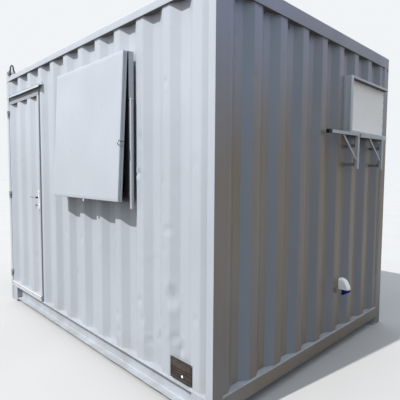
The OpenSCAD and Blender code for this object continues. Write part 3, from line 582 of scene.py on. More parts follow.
END_DENTS = [mm(*dent) for dent in (
    (-1020, 2180, 30, 24, 4.0), (-1000, 2300, 40, 18, 3.4), (-860, 2080, 18, 30, 3.0), (-600, 2280, 40, 14, 2.6),
    (-320, 1020, 20, 30, 2.6), (-300, 550, 24, 18, 3.2), (-980, 620, 20, 60, 2.2), (-100, 1720, 20, 40, 2.4),
    (240, 400, 30, 16, 2.8), (-660, 460, 18, 28, 2.6), (300, 2330, 30, 12, 2.4), (600, 900, 22, 30, 2.2))]
# The hidden walls and the door have a few of the same kind
REAR_DENTS = [mm(*dent) for dent in (
    (-1000, 1300, 30, 30, 3.0), (-200, 600, 20, 40, 3.0), (500, 1900, 40, 20, 3.0), (1100, 900, 30, 20, 3.6),
    (100, 350, 30, 15, 3.5), (-1300, 400, 20, 30, 3.0))]
DOOR_DENTS = [mm(*dent) for dent in (
    (-930, 620, 20, 30, 2.2), (-1250, 1600, 30, 20, 2.0), (-1400, 500, 20, 30, 2.0))]


def walls():
    args = dict(wave=LONG, depth=DEPTH, place=front_place, seed=3.1, dents=FRONT_DENTS,
                span=(DOOR_X0, LONG_B, SILL, RAIL_LOW))
    for name, node, a, b, low, high in (
            ("over_door", "over_door", DOOR_X0, DOOR_X1, DOOR_TOP, RAIL_LOW),
            ("pier", "pier", DOOR_X1, HOLE[0], SILL, RAIL_LOW),
            ("window_bay", "window_bay", HOLE[0], HOLE[1], SILL, HOLE[2]),
            ("over_window", "window_bay", HOLE[0], HOLE[1], HOLE[3], RAIL_LOW),
            ("front_right", "right", HOLE[1], LONG_B, SILL, RAIL_LOW)):
        sheet("sheet_" + name, "front_wall_" + node, a, b, low, high, **args)
    hidden = dict(depth=DEPTH, dents=REAR_DENTS, step=0.030, rise=0.045)
    sheet("sheet_rear", "rear_wall", LONG_A, LONG_B, SILL, RAIL_LOW, LONG, place=rear_place, seed=21.7, **hidden)
    sheet("sheet_left_end", "left_wall", END_A, END_B, SILL, HEADER_LOW, END, place=left_place, seed=33.3, **hidden)
    args = dict(wave=END, depth=DEPTH, place=right_place, seed=12.9, dents=END_DENTS,
                span=(END_A, END_B, SILL, HEADER_LOW), step=0.022, rise=0.030, material="end")
    for name, node, a, b, low, high in (
            ("right_end", "right_wall", END_A, OUTLET[0], SILL, HEADER_LOW),
            ("under_outlet", "right_wall_outlet_bay", OUTLET[0], END_B, SILL, OUTLET[2]),
            ("over_outlet", "right_wall_outlet_bay", OUTLET[0], END_B, OUTLET_HOLE_TOP, HEADER_LOW)):
        sheet("sheet_" + name, node, a, b, low, high, **args)
    roof_z, roof_y, roof_depth = RAIL_TOP + 0.018 + SHEET, 1.1765, 0.018
    sheet("sheet_roof", "roof_sheet", LONG_A, LONG_B, -roof_y, roof_y, (-1.7185, LONG[1]), roof_depth,
          lambda u, d, v: (u, v, roof_z - d), 51.0, step=0.03, rise=0.045, material="roof", pressed=0.05)
    sheet("sheet_door", "door_skin", -1.5525, -0.7945, 0.230, 2.252, LONG, 0.030,
          lambda u, d, v: (u, Y0 + 0.004 + d, v), 64.2, DOOR_DENTS, material="leaf", body="door")


# ---------------------------------------------------------------- bent and welded details
def bent(points, thick, radius=0.003, n=3):
    """Closed outline of a folded strip of sheet: its middle line is given, its bends are rounded."""
    pts = [Vector(p) for p in points]
    line = [pts[0]]
    for a, b, c in zip(pts, pts[1:], pts[2:]):
        p, q = b + (a - b).normalized() * radius, b + (c - b).normalized() * radius
        for k in range(n + 1):
            t = k / n
            line.append(p * (1 - t) ** 2 + b * 2 * t * (1 - t) + q * t * t)
    line.append(pts[-1])
    one, two = [], []
    for i, p in enumerate(line):
        along = (line[min(i + 1, len(line) - 1)] - line[max(i - 1, 0)]).normalized()
        side = Vector((-along.y, along.x)) * thick / 2
        one.append(p + side)
        two.append(p - side)
    return one + two[::-1]


def swept(name, outline, a, b, to_point, material, slot, replaces=(), body="cabin", step=0.03, wave=None):
    """Sweeps a 2-D outline from a to b; to_point(s, p, q) gives the 3-D point."""
    shape = Shape()
    n = max(2, math.ceil((b - a) / step))
    rings = []
    for k in range(n + 1):
        s = a + (b - a) * k / n
        rings.append([to_point(s, *(wave(s, p, q) if wave else (p, q))) for p, q in outline])
    shape.rings(rings)
    return shape.done(name, material, body, slot, replaces, 40)


def bead(shape, points, radius=0.0028, step=0.007):
    """A hand-laid weld bead along a line of points."""
    line = []
    for a, b in zip(points, points[1:]):
        a, b = Vector(a), Vector(b)
        n = max(1, round((b - a).length / step))
        line += [a.lerp(b, k / n) for k in range(n)]
    line.append(Vector(points[-1]))
    radii = [radius * (1 + 0.30 * noise.noise(p * 90) + 0.16 * math.sin(i * 2.1)) for i, p in enumerate(line)]
    shape.tube(line, radii, 6)


def weld_beads():
    """Beads that join the sheets to the frame, and the small parts to what carries them."""
    shape = Shape()

    def edge(a, b, wave, place, z):
        us, u = [], a
        while u < b:
            us.append(u)
            u += 0.012
        bead(shape, [place(u, rounded_fall(u, wave), z) for u in us + [b]], 0.0026, 0.012)

    foot = SILL + 0.001
    for a, place, z in ((DOOR_X1, front_place, foot), (DOOR_X0, front_place, RAIL_LOW - 0.001),
                        (DOOR_X0, rear_place, foot)):
        edge(a, LONG_B, LONG, place, z)
    for place, z in ((right_place, foot), (right_place, HEADER_LOW - 0.001), (left_place, foot)):
        edge(END_A, END_B, END, place, z)
    shape.done("weld_beads_long", "paint", sharp=60)

    shape = Shape()
    for u, z0 in ((DOOR_X0, DOOR_TOP), (LONG_B, SILL)):
        d = rounded_fall(u, LONG)
        bead(shape, [front_place(u, d, z0), front_place(u, d, RAIL_LOW)], 0.0026, 0.012)
    for u in (END_A, END_B):
        d = rounded_fall(u, END)
        bead(shape, [right_place(u, d, SILL), right_place(u, d, HEADER_LOW)], 0.0026, 0.012)
    # Foot blocks to the posts and to the bottom channels, on the front and the right end
    for sx in (-1, 1):
        post, foot = sx * LONG_B, sx * (X1 - 0.178)
        side = foot - 0.0008 * sx
        for out, x0, z0, x1, z1, r in ((-0.0004, post, 0.012, post, SILL, 0.0022),
                                       (0.0002, foot, SILL, post, SILL + 0.0006, 0.0022),
                                       (0.004, side, 0.036, side, SILL, 0.0022),
                                       (-0.0002, sx * X1, 0.0105, foot, 0.0105, 0.0024)):
            bead(shape, [(x0, Y0 + out, z0), (x1, Y0 + out, z1)], r)
    # Lifting lugs to the rails' tops
    for sx in (-1, 1):
        for sy in (-1, 1):
            x, y = sx * 1.5425, sy * 1.194
            a, b = x - 0.029, x + 0.029
            c, d = y - 0.0135, y + 0.0135
            ring = ((a, c), (b, c), (b, d), (a, d), (a, c))
            bead(shape, [(x, y, RAIL_TOP + 0.001) for x, y in ring], 0.0032)
    # Door and bracket hinges
    for z in HINGE_ZS:
        bead(shape, [(-1.6165, Y0 - 0.0006, z + dz) for dz in (-0.035, -0.005)], 0.0022, 0.004)
    for name, y in BRACKETS:
        x = right_place(y, rounded_fall(y, END), 0)[0]
        for z in (1.590, 1.745):
            for s in (-0.0085, 0.0085):
                bead(shape, [(x, y + s, z - 0.037), (x, y + s, z + 0.007)], 0.0020, 0.004)
    # The window box on the crests, and the outlet frame in the end wall
    for z in (BOX[2] - 0.001, BOX[3] + 0.001):
        u = BOX[0]
        while u < BOX[1]:
            if rounded_fall(u, LONG) < 0.0005:
                bead(shape, [(a, Y0 + INSET - 0.0008, z) for a in (u, min(u + 0.012, BOX[1]))], 0.0024, 0.006)
            u += 0.012

    def on_end(y, z):
        return right_place(y, rounded_fall(y, END), z)

    bead(shape, [on_end(OUTLET[0] - 0.001, z) for z in OUTLET[2:]], 0.0026)
    bead(shape, [on_end(OUTLET[0] + 0.012 * k, OUTLET[3] + 0.001) for k in range(66)], 0.0026, 0.012)
    shape.done("weld_beads_short", "paint", sharp=60)


def long_channels():
    """The bottom channels of the long sides: open outwards, the lower flange knocked about."""
    t = 0.006
    for side, name in ((-1, "front"), (1, "rear")):
        mid = [(0.0, 0.035 + t / 2), (0.060 - t / 2, 0.035 + t / 2), (0.060 - t / 2, SILL - t / 2),
               (0.0, SILL - t / 2)]
        outline = bent(mid, t, 0.012, 5)

        def wave(s, p, q, side=side):
            lip = max(0.0, 1 - p / 0.045)
            low = 1 if q < 0.1 else 0.25
            seed = 4.0 if side < 0 else 8.0
            dent = noise.noise(Vector((s * 3.1, seed, 0))) * 0.0022 + noise.noise(Vector((s * 9, seed, 3))) * 0.0016
            deep = sum(h * math.exp(-((s - c) / w) ** 2) for c, w, h in (
                (1.335, 0.035, 0.006), (1.16, 0.05, 0.003), (0.72, 0.06, 0.0025), (-0.38, 0.05, 0.003),
                (-1.05, 0.04, 0.002))) if side < 0 else 0
            ends = min(1, (1.4795 - abs(s)) / 0.05)
            return p + lip * low * ends * (0.0012 + dent * 0.4), q + lip * low * ends * (dent + deep)

        swept("bottom_channel_" + name, outline, -1.4795, 1.4795,
              lambda s, p, q, side=side: (s, side * (Y1 - p), q), "paint", "paint", ["bottom_channels"],
              step=0.018, wave=wave)


def cap_over_door():
    top = DOOR_TOP
    mid = [(Y0 + 0.0110, top + 0.060), (Y0 + 0.0110, top + 0.0425), (Y0 - 0.0225, top + 0.0335),
           (Y0 - 0.0225, top + 0.0175)]
    outline = bent(mid, 0.003, 0.004, 4)
    swept("drip_cap_folded", outline, DOOR_X0, CAP_END, lambda s, p, q: (s, p, q), "paint", "paint", ["drip_cap"],
          step=0.02, wave=lambda s, p, q: (p + 0.0006 * noise.noise(Vector((s * 5, 1, 0))),
                                            q + 0.0009 * noise.noise(Vector((s * 4, 7, 0)))))
    # Flat strip that closes the sheet's cut edge over the door
    shape = Shape()
    wall = Y0 + INSET
    shape.block((DOOR_X0, wall - 0.0035, top - 0.004), (DOOR_X1 - 0.001, wall - 0.0005, top + 0.046), 0.0006)
    shape.done("door_head_strip", "leaf")
    # Filler plate from the post's edge back to the sheet, over the cap
    shape = Shape()
    corner = [(DOOR_X0 - 0.0005, Y0 + 0.0006), (DOOR_X0 + 0.0215, wall - 0.0012),
              (DOOR_X0 + 0.0190, wall + 0.0008), (DOOR_X0 - 0.0025, Y0 + 0.0030)]
    shape.rings([[(x, y, z) for x, y in corner] for z in (top + 0.0605, top + 0.14, RAIL_LOW)])
    shape.done("post_filler", "paint")
    shape = Shape()
    bead(shape, [(DOOR_X0, Y0 + 0.0092, top + 0.061), (CAP_END, Y0 + 0.0092, top + 0.061)], 0.0022, 0.010)
    shape.done("drip_cap_bead", "sealant", sharp=60)


def tread_strip():
    """Ribbed strip along the door's foot, and its screws."""
    shape = Shape()
    low, high = 0.180, 0.228
    outline = [(-1.217, low), (-1.2265, low)]
    for z in (low + 0.009, low + 0.026):
        outline += [(-1.2275, z), (-1.2190, z + 0.0010), (-1.2190, z + 0.0085), (-1.2275, z + 0.0095)]
    outline += [(-1.2275, high - 0.003), (-1.2250, high), (-1.217, high)]
    rings = [[(x, p, q) for p, q in outline] for x in (-1.5865, -1.5860, -1.17, -0.7610, -0.7605)]
    shape.rings(rings)
    shape.done("tread_strip", "tread", "door", "tread_plate", ["door_kick_plate"], 30)
    shape = Shape()
    for x in (-1.565, -1.37, -1.173, -0.976, -0.782):
        shape.lathe((x, -1.2272, 0.2022), (0, -1, 0), (0, 5.5, 2.6, 5.2, 4, 3.6, 4.4, 0), 16)
    shape.done("tread_screws", "zinc", "door", "zinc", sharp=30)


def flap():
    """The window flap: one folded pan with return lips, slightly oil-canned, hinge halves and staple."""
    x0, x1, z0, z1 = -0.175, 0.856, 1.288, 2.314
    front, back = -1.280, -1.244
    pivot = (0, -1.244, 2.326)
    r, n = 0.0035, 46

    def open_flap(points):
        """The flap's rest pose: a little open about its hinge."""
        turn = Matrix.Rotation(math.radians(-2.9), 3, "X")
        return [turn @ (Vector(p) - Vector(pivot)) + Vector(pivot) for p in points]

    def loop(off, y):
        a, b, c, d = x0 + off, x1 - off, z0 + off, z1 - off
        corners = [(a, c), (b, c), (b, d), (a, d), (a, c)]
        return [(p[0] + (q[0] - p[0]) * i / n, y, p[1] + (q[1] - p[1]) * i / n)
                for p, q in zip(corners, corners[1:]) for i in range(n)]

    sections = [(0.016, back), (0.004, back), (0.0012, back - 0.0010), (0.0, back - r),
                (0.0, back - 0.0155), (0.0030, back - 0.0175), (0.0030, back - 0.0205), (0.0, back - 0.0225),
                (0.0, front + r), (0.0010, front + 0.0010), (r, front)]
    bm = bmesh.new()
    rows = [[bm.verts.new(p) for p in open_flap(loop(off, y))] for off, y in sections]
    count = len(rows[0])
    for a, b in zip(rows, rows[1:]):
        for i in range(count):
            bm.faces.new((a[i], a[(i + 1) % count], b[(i + 1) % count], b[i]))
    grid, rim = {}, rows[-1]
    for i in range(n + 1):
        for j in range(n + 1):
            if j == 0 and i < n:
                grid[i, j] = rim[i]
            elif i == n and j < n:
                grid[i, j] = rim[n + j]
            elif j == n and i > 0:
                grid[i, j] = rim[3 * n - i]
            elif i == 0 and j > 0:
                grid[i, j] = rim[4 * n - j]
            else:
                x = x0 + r + (x1 - x0 - 2 * r) * i / n
                z = z0 + r + (z1 - z0 - 2 * r) * j / n
                k = min(i, n - i, j, n - j, 6) / 6
                y = front + k * (0.0016 * noise.noise(Vector((x * 2.3, 5.5, z * 2.3)))
                                 + 0.0007 * noise.noise(Vector((x * 6, 2.5, z * 6))))
                grid[i, j] = bm.verts.new(open_flap([(x, y, z)])[0])
    for i in range(n):
        for j in range(n):
            bm.faces.new((grid[i, j], grid[i + 1, j], grid[i + 1, j + 1], grid[i, j + 1]))
    pan = finish_piece("flap_pan", bm, "flap", "flap", ["window_flap"], 32)
    solid = pan.modifiers.new("sheet", "SOLIDIFY")
    solid.thickness = 0.002
    solid.offset = -1

    shape = Shape()
    for share in (0.18, 0.82):
        x = x0 + share * (x1 - x0)
        shape.lathe((x + 0.0005, pivot[1], pivot[2]), (1, 0, 0),
                    (0, 7.2, 0.6, 8, 39, 8, 39.5, 7.4))
        low = pivot[2] - 0.0066
        mid = [(pivot[1] + 0.002, low), (front + 0.016, low), (front + 0.011, z1 + 0.0005)]
        outline = bent(mid, 0.003, 0.003, 3)
        shape.rings([open_flap([(x + dx, p, q) for p, q in outline]) for dx in (0.004, 0.022, 0.0395)])
    shape.done("flap_hinge_halves", "flap", "flap", "paint", sharp=40)

    # Catch tab under the lower edge
    shape = Shape()
    x = 0.365
    mid = [(back - 0.010, z0 - 0.0012), (front + 0.003, z0 - 0.0012), (front + 0.003, z0 - 0.020)]
    tab = bent(mid, 0.0025, 0.004, 3)
    shape.rings([open_flap([(x + dx, p, q) for p, q in tab]) for dx in (-0.011, 0.0, 0.011)])
    shape.done("flap_catch", "flap", "flap", "paint", sharp=40)

    # Padlock staple on the flap's right edge: a bent bar, and its welds
    shape = Shape()
    x, z, ring = x1 + 0.0035, 1.689, 0.016
    pts = [(x, back - 0.006, z - ring), (x, front - 0.003, z - ring)]
    pts += [(x, front - 0.004 - ring * math.sin(a), z - ring * math.cos(a))
            for a in [math.pi * k / 12 for k in range(13)]]
    pts += [(x, front - 0.003, z + ring), (x, back - 0.006, z + ring)]
    shape.tube(open_flap(pts), 0.004, 12)
    for s in (-ring, ring):
        for e in (-0.0034, 0.0034):
            ends = [(x1 + 0.0006, y, z + s + e) for y in (back - 0.008, front + 0.006)]
            bead(shape, open_flap(ends), 0.0016, 0.004)
    shape.done("flap_staple_bar", "zinc", "flap", "paint", sharp=45)


def stay():
    """The collar and head of the stay's pin, and the cap on the bar's lower end."""
    shape = Shape()
    for x, profile in ((0.8589, (0, 9.2, 1.2, 9.8, 7.5, 9.8, 8.5, 9)),
                       (0.8869, (0, 8.8, 1, 9.6, 3.6, 9.6, 5.2, 7, 5.8, 0))):
        shape.lathe((x, -1.231, 1.992), (1, 0, 0), profile)
    shape.done("stay_pin_head", "zinc")
    shape = Shape()
    shape.block((0.8690, -1.2395, 1.2392), (0.8860, -1.2225, 1.2412), 0.0008)
    shape.done("stay_end_cap", "zinc", "stay", "paint")


def rounded_rect(cx, cz, w, h, r, n=5):
    pts = []
    for sx, sz, a0 in ((1, 1, 0), (-1, 1, 90), (-1, -1, 180), (1, -1, 270)):
        for k in range(n + 1):
            a = math.radians(a0 + 90 * k / n)
            pts.append((cx + sx * (w / 2 - r) + r * math.cos(a), cz + sz * (h / 2 - r) + r * math.sin(a)))
    return pts


def lock_set():
    hx, hz = SPINDLE_X, SPINDLE_Z
    for side, name, face in ((-1, "outer", -1.217), (1, "inner", -1.172)):
        shape = Shape()
        mid = hz - 0.190 * 0.12
        layers = ((0.0, 0.036, 0.190, 0.008), (0.0042, 0.036, 0.190, 0.008), (0.0056, 0.0345, 0.1885, 0.0076),
                  (0.0060, 0.032, 0.186, 0.0070))
        shape.rings([[(x, face + side * d, z) for x, z in rounded_rect(hx, mid, w, h, r)] for d, w, h, r in layers])
        # Rose of the spindle, key cylinder with its keyhole rim, and two screws
        screw = (0, 4.2, 1.1, 4, 1.9, 2.8, 1.3, 1.2, 1.3, 0)
        for out, z, profile, n in (
                (0.0055, hz, (0, 12.5, 3, 12.5, 4.8, 11, 5, 9), 28),
                (0.0055, hz - 0.078, (0, 8.5, 5, 8.5, 6.2, 7.8, 6.2, 5.8, 5.2, 5.5, 5.2, 0), 28),
                (0.0057, hz + 0.060, screw, 16), (0.0057, hz - 0.105, screw, 16)):
            shape.lathe((hx, face + side * out, z), (0, side, 0), profile, n)
        shape.done("lock_plate_" + name, "lock", "door", "lock_metal", ["door_lock"], 30)

    # Levers on the spindle: round bars that run out and end in a short return
    shape = Shape()
    for side, y in ((-1, -1.267), (1, -1.122)):
        base = -1.2245 if side < 0 else -1.1645
        # Points are (inward from the spindle, outward from the grip's line, up, radius)
        path = [(0, (y - side * 0.012 - base) * (k / 4 - 1) - side * 0.012, 0, 0.0072 - 0.0006 * k / 4)
                for k in range(5)]
        for k in range(1, 7):
            a = math.pi / 2 * k / 6
            path.append((0.012 * (1 - math.cos(a)), side * 0.012 * (math.sin(a) - 1), 0, 0.0068))
        for k in range(1, 9):
            swell = math.sin(math.pi * k / 8)
            path.append((0.012 + 0.088 * k / 8, 0, 0.0010 * swell, 0.0068 + 0.0006 * swell))
        for k in range(1, 6):
            a = math.pi / 2 * k / 5
            path.append((0.100 + 0.011 * math.sin(a), side * 0.011 * (math.cos(a) - 1), 0, 0.0066))
        path += [(0.111, -side * 0.017, 0, 0.0064), (0.111, -side * 0.0185, 0, 0.0050)]
        shape.tube([(hx - i, y + o, hz + u) for i, o, u, r in path], [point[3] for point in path], 16)
    shape.tube([(hx, -1.226, hz), (hx, -1.163, hz)], 0.0058, 16)
    shape.done("lever_pair", "chrome", "lever", "lock_metal", ["door_handle"], 40)

    # Black collars on the levers' necks, standing in for the shade and dark reflection at the neck
    shape = Shape()
    for side, y in ((-1, -1.2325), (1, -1.1580)):
        shape.lathe((hx, y, hz), (0, side, 0), (0, 7.6, 0.6, 8.8, 17.2, 8.8, 17.8, 7.6), 20)
    shape.done("lever_neck_shade_collars", "black", "lever", "lock_metal")

    # The key left in the outer cylinder, with its ring
    shape = Shape()
    kz = hz - 0.078
    shape.block((hx - 0.0011, -1.2375, kz - 0.0036), (hx + 0.0011, -1.2270, kz + 0.0036), 0.0004)
    bow = [(0, -1.2475 + 0.0105 * math.cos(a), kz + 0.0115 * math.sin(a))
           for a in (2 * math.pi * k / 24 for k in range(24))]
    shape.plate(bow, (hx - 0.0012, 0, 0), (hx + 0.0012, 0, 0), 0.0004, 1)
    ring = [(hx + 0.0105 * math.sin(a), -1.2500 + 0.003 * math.sin(a),
             kz - 0.0105 - 0.0125 + 0.0125 * math.cos(a)) for a in (2 * math.pi * k / 28 for k in range(28))]
    shape.tube(ring, 0.0010, 8, loop=True)
    shape.done("door_key", "chrome", "door", "lock_metal")


def hinge_caps():
    """Domed ends on the pins of the door's hinges."""
    for up, name, body in ((1, "leaf", "door"), (-1, "post", "cabin")):
        shape = Shape()
        for z in HINGE_ZS:
            shape.lathe((HINGE_X, HINGE_Y, z + up * 0.0376), (0, 0, up),
                        (0, 9.8, 1, 8.8, 2.4, 6, 3, 0), 20)
        shape.done("hinge_caps_" + name, "steel", body, "frame_steel")


def outlet_details():
    """The outlet's frame of welded plates, the coated panel in it, with its screws and sealant."""
    a, b, c, d = OUTLET
    y0, z0, z1 = a + BAR, c + BAR, d - TOP_BAR
    back = 1.5775
    shape = Shape()
    # The tip of the folded bracket lies in a rebate of the lower bar: its ends, top and depth
    r0, r1, top, deep = 0.4830, 0.7300, 1.8365, 1.6685
    inner, split = OUTLET_FACE - 0.004, 1.6655
    front = [(OUTLET_FACE - 0.005, *low, OUTLET_FACE, *high) for low, high in (
        ((a, c), (y0, d)), ((y0, c), (r0, z0)), ((r0, top), (r1, z0)), ((r1, c), (b, z0)), ((y0, z1), (b, d)))]
    webs = [
        # Outside webs in two lapped widths
        (back, a, c, split, a + 0.005, d), (split + 0.0005, a + 0.0035, c + 0.001, inner, a + 0.0085, d - 0.001),
        (back, a + 0.004, d - 0.005, split, b, d), (split + 0.0005, a + 0.004, d - 0.0085, inner, b, d - 0.0035),
        # Lower web, and the rebate's back, roof and ends
        (back, a + 0.004, c, deep, b, c + 0.005), (deep - 0.004, r0 - 0.004, c, deep, r1 + 0.004, top + 0.004),
        (deep - 0.002, r0 - 0.004, top, inner, r1 + 0.004, top + 0.004),
        (deep - 0.002, a + 0.004, c, inner, r0, c + 0.005), (deep - 0.002, r1, c, inner, b, c + 0.005),
        (deep - 0.002, r0 - 0.004, c, inner, r0, top + 0.004),
        (deep - 0.002, r1, c, inner, r1 + 0.004, top + 0.004),
        # Returns that hold the panel
        (PANEL_X - 0.012, y0 - 0.005, c + 0.004, inner, y0, d - 0.004),
        (PANEL_X - 0.012, y0 - 0.004, z1, inner, b, z1 + 0.005),
        (PANEL_X - 0.012, y0 - 0.004, z0 - 0.005, inner, b, z0)]
    for plate in front + webs:
        shape.block(plate[:3], plate[3:], 0.0012)
    shape.done("outlet_surround", "trim", "cabin", "paint", ["outlet_frame"], 35)
    sheet("outlet_panel", "outlet_board", y0 - 0.0008, b, z0 - 0.0008, z1 + 0.0008, (0, 9), 0,
          lambda u, d, v: (PANEL_X - d, u, v), 77.0, rise=0.02, material="board", thick=0.010, slot="lining")
    shape = Shape()
    for k in range(6):
        z = z0 + 0.03 + (z1 - z0 - 0.06) * k / 5
        for y in (y0 + 0.012, b - 0.012):
            y += 0.002 * math.sin(k * 5.1)
            shape.lathe((PANEL_X - 0.0002, y, z), (1, 0, 0),
                        (0, 6.2, 0.4, 6.2, 1, 4.8, 2.8, 4, 3.4, 2.6, 2.6, 1.2, 2.6, 0), 14)
    shape.done("board_screws", "zinc", "cabin", "zinc", sharp=30)
    shape = Shape()
    x, g = PANEL_X, 0.0012
    bead(shape, [(x, y0 + g, z0 + g), (x, y0 + g, z1 - g), (x, b - g, z1 - g), (x, b - g, z0 + g)], 0.0026, 0.010)
    shape.done("board_sealant", "sealant", sharp=60)


def tip_caps():
    """Black plastic caps over the free ends of the two brackets."""
    leg_mid, leg_face = 0.011, 0.0145
    tip = leg_mid - 0.0125 + 0.436
    for name, y in BRACKETS:
        turn = Matrix.Translation((1.7025, y, 0)) @ Matrix.Rotation(math.radians(-90 - 5.7), 4, "Z")
        shape = Shape()
        e = 0.0006
        low = (tip - 0.035 - e, leg_face - 0.002 - e, 1.832 - 0.025 - 0.002 - e)
        high = (tip + 0.003 + e, leg_face + 0.025 + 0.002 + e, 1.832 + 0.002 + e)
        shape.block(low, high, 0.0028, 3, turn)
        shape.done("tip_cap_" + name, "black", name + "_bracket", "paint")


def inlet():
    """Power inlet: a moulded hood with a round shoulder, and the blue socket with its lid under it."""
    cy, base = 0.3570, X1 - INSET
    wide, tall, deep, z0 = 0.064, 0.092, 0.0820, 0.521

    def section(z, out, w, r, n=5):
        """Outline at height z: flat on the wall, rounded outside corners."""
        pts = [(base, cy - w / 2, z)]
        for k in range(n + 1):
            a = math.pi / 2 * k / n
            pts.append((base + out - r + r * math.sin(a), cy - w / 2 + r - r * math.cos(a), z))
        for k in range(n + 1):
            a = math.pi / 2 * k / n
            pts.append((base + out - r + r * math.cos(a), cy + w / 2 - r + r * math.sin(a), z))
        pts.append((base, cy + w / 2, z))
        return pts

    shape = Shape()
    # A lip, a fine groove round it, and the hood that leans back to the wall
    rings = [section(z0 + up, deep - back, wide - slim, r) for up, back, slim, r in (
        (0.0003, 0.004, 0.006, 0.010), (0.0014, 0.001, 0.001, 0.012), (0.004, 0, 0, 0.013),
        (0.0165, 0.0005, 0, 0.013), (0.0176, 0.0024, 0.003, 0.013), (0.0188, 0.0024, 0.003, 0.013),
        (0.0200, 0.0020, 0, 0.013))]
    for k in range(1, 11):
        t = k / 10
        out = deep - 0.002 - 0.045 * t ** 1.12 - 0.022 * t ** 7
        w = wide - 0.022 * t ** 4
        rings.append(section(z0 + 0.020 + 0.0725 * (1 - (1 - t) ** 1.25), out, w, 0.013 - 0.003 * t))
    rings.append(section(z0 + tall, 0.012, wide - 0.044, 0.006))
    shape.rings(rings)
    # Back plate with its two screw ears
    shape.rings([[(base + d, y, z) for y, z in rounded_rect(cy, 0.5670, w, h, 0.008)]
                 for d, w, h in ((0.0, 0.066, 0.090), (0.0030, 0.066, 0.090), (0.0038, 0.064, 0.088))])
    shape.done("inlet_hood", "white", "cabin", "white_plastic", ["inlet_housing"], 38)

    shape = Shape()
    start = Vector((1.6830, 0.3520, 0.5260))
    axis = Vector((0.485, 0, -0.875)).normalized()
    shape.lathe(start, axis, (0, 23, 4, 26.2, 14, 28.5, 14.5, 27, 19, 27, 19.5, 32.5, 28, 34.5, 28.5, 37,
                              30, 38.8, 39, 38.8, 41.5, 37.2, 42.5, 31, 42.5, 0), 40)
    side = axis.cross(Vector((0, 1, 0))).normalized()
    turn = Matrix.Translation(start) @ Matrix((side, (0, 1, 0), axis)).transposed().to_4x4()
    # Hinge of the lid at the wall side, its finger tab outside, and grip ribs round it
    shape.block((-0.0405, -0.010, 0.0250), (-0.0330, 0.010, 0.0370), 0.0016, 2, turn)
    shape.block((0.0330, -0.009, 0.0315), (0.0392, 0.009, 0.0370), 0.0012, 2, turn)
    for k in range(14):
        m = turn @ Matrix.Rotation(2 * math.pi * k / 14, 4, "Z")
        shape.block((0.0378, -0.0012, 0.0305), (0.0392, 0.0012, 0.0385), 0.0003, 1, m)
    shape.done("inlet_lid", "blue", "cabin", "blue_plastic", ["inlet_socket"], 38)


def name_plate():
    """The plate, without any lettering: a border, an empty field, plain bars, a dot and rivets."""
    cx, cz = 1.3735, 0.255
    wall = Y0 + INSET
    shape = Shape()
    shape.rings([[(x, wall - d, z) for x, z in rounded_rect(cx, cz, w, h, 0.0015)]
                 for d, w, h in ((0.0, 0.205, 0.136), (0.0022, 0.205, 0.136), (0.0030, 0.2040, 0.135))])
    shape.done("enamel_plate", "plate", "cabin", "dark_plate", ["bare_plate"], 30)
    shape = Shape()

    def print_block(x0, z0, x1, z1):
        shape.block((x0, wall - 0.0036, z0), (x1, wall - 0.0028, z1))

    def frame_line(x, z, w, h, t):
        a, b, c, d = x - w / 2, x + w / 2, z - h / 2, z + h / 2
        for corners in ((a, c, b, c + t), (a, d - t, b, d), (a, c + t, a + t, d - t), (b - t, c + t, b, d - t)):
            print_block(*corners)

    frame_line(cx, cz, 0.198, 0.129, 0.0024)
    frame_line(cx + 0.068, cz + 0.034, 0.040, 0.042, 0.0022)
    for k in range(4):
        z = cz + 0.004 - 0.0165 * k
        print_block(cx - 0.094, z, cx + (0.094 if k != 2 else 0.030), z + 0.0055)
    shape.done("plate_rows", "print", "cabin", "dark_plate", sharp=30)
    shape = Shape()
    for sx in (-1, 1):
        for sz in (-1, 1):
            shape.lathe((cx + sx * 0.0975, wall - 0.0029, cz + sz * 0.0630), (0, -1, 0),
                        (0, 2.8, 0.8, 2.6, 1.5, 1.4, 1.7, 0), 12)
    shape.done("plate_rivets", "zinc", "cabin", "zinc", sharp=40)
    shape = Shape()
    shape.lathe((cx + 0.012, wall - 0.0030, cz - 0.031), (0, -1, 0), (0, 8.5, 0.7, 8.5, 0.8, 0))
    shape.done("plate_dot", "white", "cabin", "white_plastic", sharp=30)


def shackle():
    """Forged bow: pin eyes that run into a slim bar, widest a little above the pin."""
    x, y, z = -1.5425, -1.194, 2.5978
    ear = 0.0155 + 0.0105
    shape = Shape()
    pts, radii = [], []
    n = 40
    for k in range(n + 1):
        t = k / n
        a = math.pi * t
        rise = 0.012 + 0.081 * math.sin(a) ** 0.72
        side = (abs(math.cos(a)) ** 0.62) * (1 if math.cos(a) >= 0 else -1)
        narrow = 1 - 0.34 * min(1, rise / 0.045) ** 2
        pts.append((x, y - ear * side * narrow, z + rise))
        radii.append(0.0082 + 0.0022 * abs(math.cos(a)) ** 6)
    shape.tube(pts, radii, 16)
    for s in (-1, 1):
        shape.lathe((x, y + s * (ear - 0.0103), z), (0, s, 0),
                    (0, 11.3, 0.2, 16.5, 2.4, 18.8, 18.2, 18.8, 20.4, 16.5, 20.6, 11.3), 32)
        shape.tube([(x, y + s * ear, z + 0.012), (x, y + s * ear, z + 0.026)], [0.0122, 0.0100], 16)
    shape.done("shackle_forging", "forged", "shackle", "zinc", ["shackle_bow"], 50)


def window_gaskets():
    """Black glazing beads round both panes, outside and inside."""
    shape = Shape()
    a0, a1, z0, z1 = -0.117, 0.798, 1.348, 2.258
    bar, m = 0.045, 0.002
    half = (a1 - a0 - 3 * bar) / 2
    for left in (a0 + bar, a0 + 2 * bar + half):
        a, b, c, d = left + m, left + half - m, z0 + bar + m, z1 - bar - m
        for y in (-1.1785, -1.1695):
            shape.tube([(a, y, c), (b, y, c), (b, y, d), (a, y, d)], 0.0028, 8, loop=True)
    shape.done("glazing_beads", "black", "cabin", "window_metal", sharp=60)


